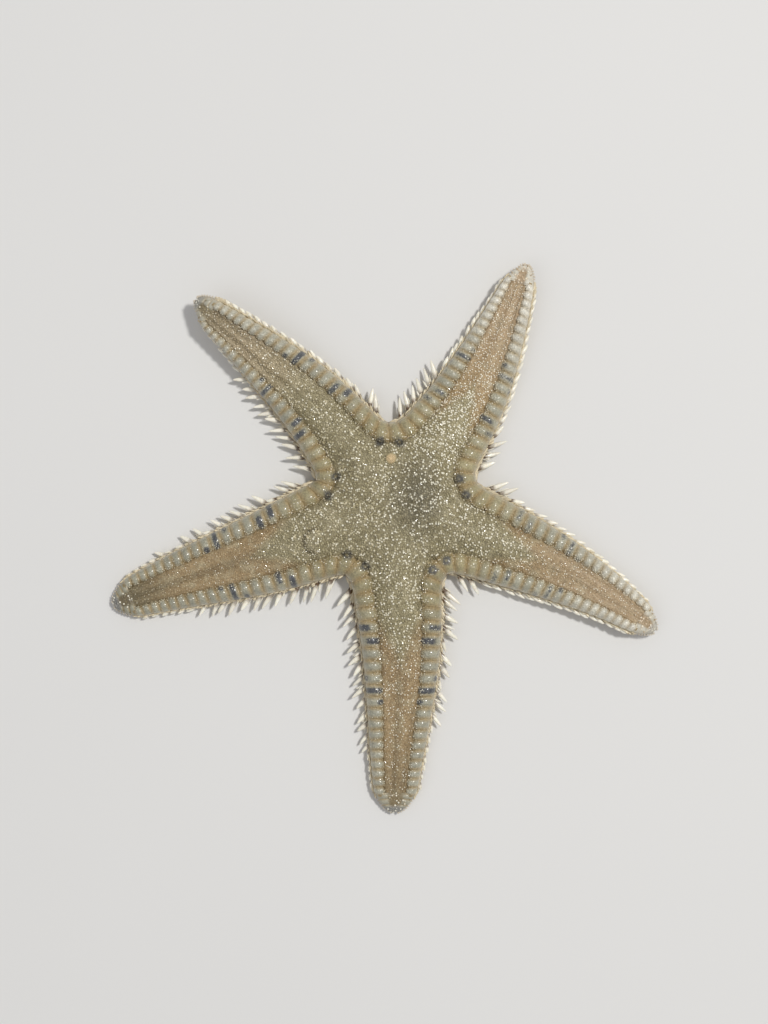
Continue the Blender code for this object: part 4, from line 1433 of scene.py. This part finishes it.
class SANDSTAR_OT_spines(PieceOperator, bpy.types.Operator):
    """Plant the side spines and the smaller ones beneath them"""

    bl_idname = "sand_star.spines"
    bl_label = "Spines"

    def make(self, settings):
        material = spine_finish(settings.spines)
        shape = pointed_shape("spine_shape", SPINE_PROFILE, 8, bend=0.06)
        small_shape = pointed_shape("small_spine_shape", SPINE_PROFILE, 6, bend=0.1)
        spines, small = Roots(), Roots()
        for arm in ARMS:
            for side, word in SIDES.items():
                side_spines(arm, side, word, settings.spines, spines, small)
        hand_over(spines.plant("side_spines", shape, material), material, "plates")
        hand_over(small.plant("small_spines", small_shape, material), material, "plates")
        remove(shape, small_shape)


# The plate that closes an arm: its rings and points, and the pitch of the small plates on its sides
# with the depth of their grooves and of the trough between them
TIP_RINGS = 44
TIP_POINTS = 56
TIP_PITCH = 0.82 * MM
TIP_TROUGH = 0.3 * MM
TIP_GROOVE = 0.3 * MM


def tip_rings(arm):
    """The arm's end: its last small plates on both sides of the skin, and the plate that closes it."""
    start = arm.plates_end - 0.35 * MM
    stop = arm.length - 0.02 * MM
    turn = round_turn(TIP_POINTS)
    cosine, sine = np.cos(turn), np.sin(turn)
    across = np.sign(cosine) * np.abs(cosine) ** 0.75
    away, over = np.abs(across), np.abs(sine) ** 0.55
    rings, carried = [], []
    for k in range(TIP_RINGS + 1):
        t = math.sin(k / TIP_RINGS * math.pi / 2)
        s = mix(start, stop, t)
        width = arm.outer_width(s) * 0.99
        height = arm.crown(s) * mix(0.42, 1.02, width / arm.outer_width(start))
        waist = 0.36 * height
        row = smooth(share(away, 0.24 + 0.1 * t, 0.5)) * (1 - smooth(share(t, 0.66, 0.8)))
        closing = smooth(share(t, 0.6, 0.78))
        lean = 0.25 * away * TIP_PITCH
        crest = np.abs(np.sin(math.pi * (s - start - lean) / TIP_PITCH)) ** 0.7
        notch = np.exp(-((across * width / (0.26 * MM)) ** 2))
        top = mix(waist, height, over)
        under_skin = 0.28 * MM * (1 - smooth(share(t, 0.0, 0.16))) * (1 - row)
        top = top - TIP_TROUGH * (1 - row) * (1 - closing) * over - TIP_GROOVE * (1 - crest) * row * over
        top = top - under_skin * over - 0.14 * MM * notch * closing
        under = mix(waist, 0.02 * MM, over) + 0.28 * height * notch
        rings.append(arm.place(s, across * width, np.where(sine > 0, top, under)))
        carried.append((across, np.full(TIP_POINTS, t), np.maximum(sine, 0), row, (1 - crest) * row))
    return np.array(rings), np.array(carried)


def end_colour(f, look, skin):
    """The markings that the arm ends and their grains share."""
    cloudy = f.noise(0.7 * MM, 3)
    base = f.tinted(f.blend(skin.olive, skin.tan, f.carried("bare")), 0.7 + cloudy * 0.3)
    base = f.blend(base, skin.blush, f.carried("faded") * 0.6)
    base = f.blend(base, skin.dusk, f.carried("grey"))
    closing = (f.carried("along") + (cloudy - 0.5) * 0.2).steps(0.56, 0.82)
    return f.blend(base, look.blue_grey, closing * (0.85 - f.carried("faded") ** 6 * 0.7))


def tip_finish(look, plates, skin):
    f = Finish("Arm ends")
    along, up, row, groove = (f.carried(key) for key in ("along", "up", "row", "groove"))
    fine, cloudy, grit = f.noise(0.12 * MM, 2), f.noise(0.7 * MM, 3), f.cells(0.2 * MM)
    base = f.blend(end_colour(f, look, skin), plates.sage, row * 0.85)
    base = f.blend(base, plates.ochre, groove.steps(0.15, 0.8) * 0.75)
    base = f.blend(base, plates.faded, f.carried("faded") * row.most(along.steps(0.6, 0.85)) * 0.8)
    rim = (1 - up.steps(0.05, 0.5)).most(along.steps(0.86, 1.0))
    base = f.blend(base, look.pale, rim * (0.3 + cloudy * 0.5))
    base = f.tinted(base, 1.0 - grit * 0.3 + (cloudy - 0.5) * 0.4)
    base = f.tinted(base, 0.86 + fine * 0.28)
    normal = f.relief(fine * 0.6 - grit * 0.8, 0.07 * MM)
    return f.close(base, 0.32 + fine * 0.2, normal, coat=0.4, coat_roughness=0.15)


def end_grain_finish(look, gleam, skin):
    f = Finish("End grains")
    rise, grain = f.carried("rise"), f.carried("grain")
    fine = f.noise(0.06 * MM, 2)
    base = f.tinted(end_colour(f, look, skin), 0.85 + grain * 0.5)
    # The grains' own pale tips with painted glints on their heads
    base = f.blend(base, gleam, rise.steps(0.5, 0.95) * (0.06 + grain.steps(0.55, 0.95) * 0.8))
    return f.close(base, 0.28 + fine * 0.16, f.relief(fine, 0.02 * MM), coat=0.6, coat_roughness=0.14)


def pale_point_finish(look):
    f = Finish("Arm end points")
    along, fine = f.carried("along"), f.noise(0.12 * MM, 2)
    base = f.blend(look.blue_grey, look.pale, along.steps(0.0, 0.5).most(f.carried("faded") ** 4))
    base = f.tinted(base, 0.85 + fine * 0.3)
    return f.close(base, 0.3 + fine * 0.2, f.relief(fine, 0.03 * MM), coat=0.4)


def eyespot_finish(look):
    f = Finish("Eyespots")
    cells = f.cells(0.06 * MM)
    base = f.blend(look.eye_red, look.dark, cells.steps(0.3, 0.8) * 0.6)
    return f.close(base, 0.2 + cells * 0.1, f.relief(cells, 0.02 * MM), coat=0.6)


# The grains on an arm's end, the rows of points round it as (level, length), and the rings of the
# eyespot beneath it as (radius, height) in millimetres
END_GRAINS = {"spacing": 0.34 * MM, "density": 2.0e7, "radius": 0.13 * MM, "height": 0.2 * MM}
END_POINT_ROWS = ((0.40, 0.46), (0.22, 0.5))
EYESPOT_PROFILE = ((0.10, -0.14), (0.17, -0.06), (0.17, 0.05), (0.08, 0.14))


class SANDSTAR_OT_ends(PieceOperator, bpy.types.Operator):
    """Make the plates that close the arms, the points on them and the eyespots beneath"""

    bl_idname = "sand_star.ends"
    bl_label = "Arm ends"

    def make(self, settings):
        look, grains = settings.ends, settings.grains
        material = tip_finish(look, settings.plates, settings.skin)
        point_material = pale_point_finish(look)
        grain_material = end_grain_finish(look, grains.gleam, settings.skin)
        shape = pointed_shape("end_point_shape", SCALE_PROFILE, 6)
        grain = table_grain("end_grain_shape")
        sizes = {**END_GRAINS, "tilt": grains.tilt, "seed": grains.seed}
        roots, eyes = Roots(), Shell()
        for arm in ARMS:
            plate = self.end_plate(arm)
            coat = scattered("end_grains_" + arm.name, plate, grain, grain_material, **sizes)
            hand_over(plate, material, "tips", "tip_" + arm.name)
            hand_over(coat, grain_material, "tips")
            draw = random.Random("end points " + arm.name)
            for level, reach in END_POINT_ROWS:
                self.rim_points(arm, level, reach, draw, roots)
            mouth = arm.place(arm.length - 0.7 * MM, 0, 0.5 * MM)
            eyes.loft(turned_rings(EYESPOT_PROFILE, 12) * MM + mouth)
        hand_over(roots.plant("end_points", shape, point_material), point_material, "tips")
        hand_over(eyes.object("eyespots"), eyespot_finish(settings.underside), "tips")
        remove(shape, grain)

    def end_plate(self, arm):
        """The arm's end in one piece, with its unwrap."""
        rings, carried = tip_rings(arm)
        across, along, up, row, groove = (carried[:, n] for n in range(5))
        looks = {"across": across, "along": along, "up": up, "row": row, "groove": groove}
        looks.update({"faded": PALE_ENDS[arm.name], "bare": BARE_SHARE[arm.name]})
        looks["grey"] = GREY_ENDS[arm.name]
        shell = Shell()
        shell.loft(rings, coat=up > 0.55, dense=mix(0.15, 1.0, 1 - row), swell=1.0, arm=0.0, **looks)
        plate = shell.object("end_plate_" + arm.name)
        flat = np.stack((0.1 + 0.7 * along, 0.5 + 0.4 * across, along * 0), -1)
        store(plate.data, "unwrap", flat, "FLOAT_VECTOR")
        return plate

    def rim_points(self, arm, level, reach, draw, roots):
        """A row of small points round the arm's end."""
        for t in np.linspace(0.05, 0.995, 10):
            s = mix(arm.plates_end, arm.length - 0.05 * MM, math.sin(t * math.pi / 2))
            height = level * arm.crown(s)
            for side in SIDES:
                a = side * arm.outer_width(s) * 0.96
                root = arm.place(s, a, height)
                aside = a * 1.25 + side * 0.1 * MM * (1 - t)
                ahead = unit(arm.place(s + 0.5 * MM * t**3, aside, height) - root)
                size = np.array((0.2, 0.12, 0.7 * reach)) * MM * draw.uniform(0.75, 1.1)
                looks = {"tone": draw.random(), "faded": PALE_ENDS[arm.name]}
                roots.add(root, ahead, unit(np.cross(UP, ahead)), size, **looks)


def sieve_finish(look, skin):
    f = Finish("Sieve plate")
    furrow, fine, uneven = f.carried("furrow"), f.noise(0.1 * MM, 2), f.noise(0.4 * MM, 2)
    base = f.blend(f.tinted(look.sieve, 0.6), look.sieve, furrow.steps(0.1, 0.7))
    rim = (f.carried("reach") + (uneven - 0.5) * 0.5).steps(0.62, 1.0)
    base = f.tinted(f.blend(base, skin.olive, rim * 0.8), 0.85 + fine * 0.3)
    return f.close(base, 0.4 + fine * 0.2, f.relief(fine, 0.03 * MM), coat=0.25)


class SANDSTAR_OT_sieve_plate(PieceOperator, bpy.types.Operator):
    """Make the sieve plate, a low button with furrows that branch towards its edge"""

    bl_idname = "sand_star.sieve_plate"
    bl_label = "Sieve plate"

    def make(self, settings):
        arm = ARMS[0]
        place = DISC_CENTRE + SIEVE_PLATE_AT
        s = np.linalg.norm(SIEVE_PLATE_AT) * math.cos(arm.half_angle)
        top = skin_top(arm, s, s * math.tan(arm.half_angle) * 0.999, settings.skin)[0]
        turn = round_turn(72)
        wobble = 0.35 * np.sin(3 * turn + 0.7) + 0.2 * np.sin(5 * turn + 2)
        radii = np.array((1.0, *np.linspace(1, 0.05, 14)))
        rings, furrows = [], []
        for radius in radii:
            branches = 18 if radius > 0.5 else 9
            wave = 0.5 + 0.5 * np.cos(branches * turn + 2.5 * wobble + 1.8 * radius)
            strength = share(radius, 0.12, 0.3) * (1 - share(radius, 0.93, 1.0))
            height = 0.30 * (1 - radius**2.4) + 0.09 * wave * strength
            rings.append(circle(turn, radius * SIEVE_RADIUS, height * MM))
            furrows.append(mix(1, wave, strength))
        rings = np.array(rings)
        rings[0, :, 2] = -0.5 * MM
        rings = rings + place + UP * (float(top) + SIEVE_PROUD)
        shell = Shell()
        shell.loft(rings, furrow=np.array(furrows), reach=radii[:, None])
        made = shell.object("sieve_button")
        hand_over(made, sieve_finish(settings.ends, settings.skin), "sieve", "sieve_plate")


def foot_finish(look):
    f = Finish("Tube feet")
    along, fine = f.carried("along"), f.noise(0.12 * MM, 2)
    rings = (along * 60).math("SINE") * 0.5 + 0.5
    base = f.blend(look.flesh, look.bone, along.steps(0.5, 1.0) * 0.6)
    base = f.tinted(base, 0.8 + fine * 0.25 + rings * 0.08)
    normal = f.relief(rings + fine * 0.5, 0.02 * MM)
    deep = {"subsurface_weight": 0.3, "subsurface_scale": 0.5 * MM}
    return f.close(base, 0.22 + fine * 0.12, normal, coat=0.5, **deep)


def bone_finish(look):
    f = Finish("Furrow edge")
    along, tone = f.carried("along"), f.carried("tone")
    fine, cloudy = f.noise(0.1 * MM, 2), f.noise(0.6 * MM, 2)
    base = f.blend(f.tinted(look.bone, 0.62), look.bone, (along + (cloudy - 0.5) * 0.4).steps(0.0, 0.6))
    base = f.tinted(base, 0.8 + tone * 0.2 + fine * 0.15)
    return f.close(base, 0.34 + fine * 0.2, f.relief(fine + cloudy, 0.03 * MM), coat=0.3)


# (radius, height) of the rings of a tube foot and of a plate beside the furrow
FOOT_PROFILE = (
    (0.62, -0.05), (0.56, 0.12), (0.50, 0.35), (0.46, 0.60), (0.34, 0.80), (0.16, 0.93), (0.04, 1.0),
)
BLOCK_PROFILE = ((0.40, -0.4), (0.50, 0.1), (0.46, 0.7), (0.30, 1.0))

# How far from the disc's centre the rows of tube feet and of plates start
FEET_START = 4.4 * MM
EDGE_START = 4.2 * MM


class SANDSTAR_OT_underside(PieceOperator, bpy.types.Operator):
    """Make the tube feet, and the small plates and spines beside the furrows"""

    bl_idname = "sand_star.underside"
    bl_label = "Furrows"

    def make(self, settings):
        look = settings.underside
        feet, blocks, guards = Roots(), Roots(), Roots()
        for arm in ARMS:
            draw = random.Random("furrow " + arm.name)
            for side in SIDES:
                self.foot_row(arm, side, look, draw, feet)
                self.edge_row(arm, side, look, settings.skin.under_clear, draw, blocks, guards)
        bone, flesh = bone_finish(look), foot_finish(look)
        foot = pointed_shape("foot_shape", FOOT_PROFILE, 8, bend=0.05)
        block = pointed_shape("block_shape", BLOCK_PROFILE, 8)
        guard = pointed_shape("guard_shape", SPINE_PROFILE[::2], 5, bend=0.08)
        hand_over(feet.plant("tube_feet", foot, flesh), flesh, "skin")
        hand_over(blocks.plant("furrow_plates", block, bone), bone, "plates")
        hand_over(guards.plant("furrow_spines", guard, bone), bone, "plates")
        remove(foot, block, guard)

    def foot_row(self, arm, side, look, draw, feet):
        stop = arm.plates_end - 0.4 * MM
        many = round((stop - FEET_START) / look.foot_pitch)
        for s in np.linspace(FEET_START, stop, many) + side * 0.25 * look.foot_pitch:
            half = arm.furrow_half(s)
            root = arm.place(s, side * 0.48 * half, 0.9 * arm.furrow_depth(s))
            lean = draw.uniform(-0.3, 0.35) * MM
            tip = arm.place(s + lean, side * half * draw.uniform(0.3, 0.62), 0.14 * MM)
            width = 2 * look.foot_radius * mix(1.0, 0.55, s / arm.length)
            size = (width, width, np.linalg.norm(tip - root))
            feet.add(root, unit(tip - root), heading_vector(arm.heading), size, tone=draw.random())

    def edge_row(self, arm, side, look, clear, draw, blocks, guards):
        stop = arm.plates_end - 0.3 * MM
        many = round((stop - EDGE_START) / look.edge_pitch)
        pitch = (stop - EDGE_START) / many
        for s in np.linspace(EDGE_START, stop, many):
            half = arm.furrow_half(s)
            size = (0.92 * pitch, 0.6 * MM * mix(1, 0.6, s / arm.length), 0.26 * MM)
            root = arm.place(s, side * (half + 0.28 * MM), clear + 0.05 * MM)
            along = unit(arm.place(s + 0.1 * MM, side * (half + 0.28 * MM), clear + 0.05 * MM) - root)
            blocks.add(root, -UP, along, size, tone=draw.random())
            inward = unit(arm.place(s, 0, clear) - arm.place(s, side * half, clear))
            for n in (-1, 0, 1):
                place = arm.place(s + n * 0.26 * pitch, side * (half + 0.02 * MM), clear)
                ahead = unit(inward + along * (0.22 * n) - UP * 0.08)
                reach = mix(0.85, 0.45, s / arm.length) * MM * draw.uniform(0.85, 1.1)
                guards.add(place, ahead, along, (0.2 * MM, 0.15 * MM, reach), tone=draw.random())
                place = arm.place(s + n * 0.28 * pitch, side * (half + 0.5 * MM), clear - 0.02 * MM)
                ahead = unit(-inward + along * (0.5 * n + 0.3) - UP * 0.1)
                reach = mix(0.6, 0.35, s / arm.length) * MM * draw.uniform(0.85, 1.1)
                guards.add(place, ahead, along, (0.2 * MM, 0.14 * MM, reach), tone=draw.random())


def membrane_finish(look):
    f = Finish("Mouth skin")
    reach, fine = f.carried("reach"), f.noise(0.12 * MM, 3)
    # The middle of the closed mouth skin is painted dark: painted shade where the mouth opens
    base = f.tinted(f.blend(look.dark, look.flesh, reach.steps(0.08, 0.4)), 0.72 + fine * 0.5)
    return f.close(base, 0.26 + fine * 0.15, f.relief(fine, 0.04 * MM), coat=0.5)


class SANDSTAR_OT_mouth(PieceOperator, bpy.types.Operator):
    """Make the wrinkled skin of the mouth, and the five jaws with their spines"""

    bl_idname = "sand_star.mouth"
    bl_label = "Mouth"

    def make(self, settings):
        look = settings.underside
        shell = Shell()
        turn = round_turn(90)
        rings, reaches = [], []
        outer = (MOUTH_REACH - GAP) * 0.86
        for t, level in ((0.03, 2.3), (0.3, 2.3), (1.0, 2.25), (1.0, 1.65)):
            rings.append(circle(turn, t * outer, level * MM))
            reaches.append(t)
        for t in np.linspace(0.97, 0.02, 20):
            wrinkle = 0.05 * np.cos(25 * turn) * smooth(share(t, 0.05, 0.3)) * (1 - t)
            level = 1.6 + 0.5 * math.exp(-((t / 0.2) ** 2)) + wrinkle + 0.03 * math.cos(t * 40)
            rings.append(circle(turn, t * outer, level * MM))
            reaches.append(t)
        shell.loft(np.array(rings) + DISC_CENTRE, reach=np.array(reaches)[:, None])
        hand_over(shell.object("mouth_skin"), membrane_finish(look), "mouth", "mouth")
        jaws, teeth = Shell(), Roots()
        for arm in ARMS:
            self.jaw(arm.heading + arm.half_angle, jaws, teeth)
        bone = bpy.data.materials.get("Furrow edge") or bone_finish(look)
        tooth = pointed_shape("tooth_shape", SPINE_PROFILE, 6, bend=0.05)
        hand_over(jaws.object("jaws"), bone, "mouth")
        hand_over(teeth.plant("jaw_spines", tooth, bone), bone, "mouth")
        remove(tooth)

    def jaw(self, corner, jaws, teeth):
        """Two halves side by side that point at the mouth's middle, with spines round their edge."""
        out, across = heading_vector(corner), heading_vector(corner + math.pi / 2)
        draw = random.Random(f"jaw {corner:.2f}")
        turn = round_turn(12)
        for side in (-1, 1):
            rings = []
            for t in np.linspace(0, 1, 9):
                reach = mix(3.55, 0.85, t) * MM
                half = 0.36 * MM * (0.7 + 1.1 * t - 1.25 * t**3) + 0.05 * MM
                low = mix(0.45, 0.28, math.sin(t * math.pi)) * MM
                high = mix(2.0, 1.35, t) * MM
                aside = side * (half + 0.03 * MM) + half * np.cos(turn)
                level = mix(low, high, 0.5 + 0.5 * np.sin(turn))
                rings.append(DISC_CENTRE + out * reach + across * aside[:, None] + UP * level[:, None])
            jaws.loft(np.array(rings), along=0.8, tone=draw.random())
            for t in np.arange(6) / 5:
                reach = mix(0.8, 3.2, t) * MM
                aside = side * mix(0.2, 0.62, math.sin(t * 2.2)) * MM
                root = DISC_CENTRE + out * reach + across * aside + UP * 0.5 * MM
                ahead = across * side * mix(0.1, 0.8, t) - out * mix(1, 0.3, t) - UP * mix(0.35, 0.1, t)
                size = np.array((0.3, 0.24, mix(0.62, 0.5, t))) * MM * draw.uniform(0.85, 1.1)
                teeth.add(root, unit(ahead), across, size, tone=draw.random())


def floor_finish(look):
    f = Finish("Floor")
    broad = f.noise(60 * MM, 2)
    return f.close(f.tinted(look.floor, 0.98 + broad * 0.03), 0.75 + broad * 0.1)


# The stage: half the floor's side, where the camera stands, its sensor in millimetres, the colour of
# the room's light, and each lamp's size and place
FLOOR_HALF = 1.5
CAMERA_AT = (-0.18 * MM, 3.7 * MM)
SENSOR_WIDTH = 36
ROOM_LIGHT = (246, 248, 255)
KEY_LIGHT = (0.1, (0.34, 0.20, 0.78))
FILL_LIGHT = (0.7, (-0.5, -0.3, 0.8))


class SANDSTAR_OT_stage(PieceOperator, bpy.types.Operator):
    """Set the floor, the soft lights and the camera over the animal"""

    bl_idname = "sand_star.stage"
    bl_label = "Floor, lights and camera"

    def make(self, settings):
        look = settings.stage
        bm = bmesh.new()
        bmesh.ops.create_grid(bm, x_segments=2, y_segments=2, size=FLOOR_HALF)
        mesh = bpy.data.meshes.new("floor")
        bm.to_mesh(mesh)
        bm.free()
        mesh.materials.append(floor_finish(look))
        floor = placed("floor", mesh)
        self.light("key_light", look.key_power, *KEY_LIGHT)
        self.light("fill_light", look.fill_power, *FILL_LIGHT)
        world = bpy.data.worlds.new("Room")
        world.use_nodes = True
        background = world.node_tree.nodes["Background"]
        background.inputs["Color"].default_value = (*paint(*ROOM_LIGHT), 1)
        background.inputs["Strength"].default_value = look.world
        bpy.context.scene.world = world
        bpy.context.scene.view_settings.view_transform = "Standard"
        lens = bpy.data.cameras.new("camera")
        lens.lens = look.lens
        lens.sensor_width = SENSOR_WIDTH
        camera = placed("camera", lens)
        camera.location = (*CAMERA_AT, look.camera_height)
        bpy.context.scene.camera = camera

    def light(self, name, power, size, place):
        lamp = bpy.data.lights.new(name, "AREA")
        lamp.shape = "DISK"
        lamp.size = size
        lamp.energy = power
        made = placed(name, lamp)
        made.location = place
        made.rotation_euler = (-made.location).to_track_quat("-Z", "Y").to_euler()


class SandStarSettings(bpy.types.PropertyGroup):
    skin: PointerProperty(type=SandStarSkin, name="Skin", description="Shape and colours of the skin")
    grains: PointerProperty(type=SandStarGrains, name="Grains", description="The grains on the skin")
    plates: PointerProperty(type=SandStarPlates, name="Plates", description="Both rows of plates")
    spines: PointerProperty(type=SandStarSpines, name="Spines", description="Spines along the sides")
    ends: PointerProperty(type=SandStarEnds, name="Ends", description="Arm ends and sieve plate")
    underside: PointerProperty(type=SandStarUnderside, name="Underside", description="Furrows and mouth")
    stage: PointerProperty(type=SandStarStage, name="Stage", description="Floor, lights and camera")


OPERATORS = (
    SANDSTAR_OT_skin,
    SANDSTAR_OT_grains,
    SANDSTAR_OT_upper_plates,
    SANDSTAR_OT_lower_plates,
    SANDSTAR_OT_spines,
    SANDSTAR_OT_ends,
    SANDSTAR_OT_sieve_plate,
    SANDSTAR_OT_underside,
    SANDSTAR_OT_mouth,
    SANDSTAR_OT_stage,
)


class SANDSTAR_PT_panel(bpy.types.Panel):
    """Lists the steps that build the sand star"""

    bl_label = "Sand star"
    bl_idname = "SANDSTAR_PT_panel"
    bl_space_type = "VIEW_3D"
    bl_region_type = "UI"
    bl_category = "Sand star"

    def draw(self, context):
        for operator in OPERATORS:
            self.layout.operator(operator.bl_idname, text=operator.bl_label)


GROUPS = (
    SandStarSkin,
    SandStarGrains,
    SandStarPlates,
    SandStarSpines,
    SandStarUnderside,
    SandStarEnds,
    SandStarStage,
    SandStarSettings,
)


def register():
    for group in (*GROUPS, *OPERATORS, SANDSTAR_PT_panel):
        bpy.utils.register_class(group)
    bpy.types.Scene.sand_star = PointerProperty(type=SandStarSettings)


def unregister():
    del bpy.types.Scene.sand_star
    for group in reversed((*GROUPS, *OPERATORS, SANDSTAR_PT_panel)):
        bpy.utils.unregister_class(group)


def main():
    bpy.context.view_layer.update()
    register()
    for operator in OPERATORS:
        getattr(bpy.ops.sand_star, operator.bl_idname.split(".")[1])()
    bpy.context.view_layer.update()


if __name__ == "__main__":
    main()
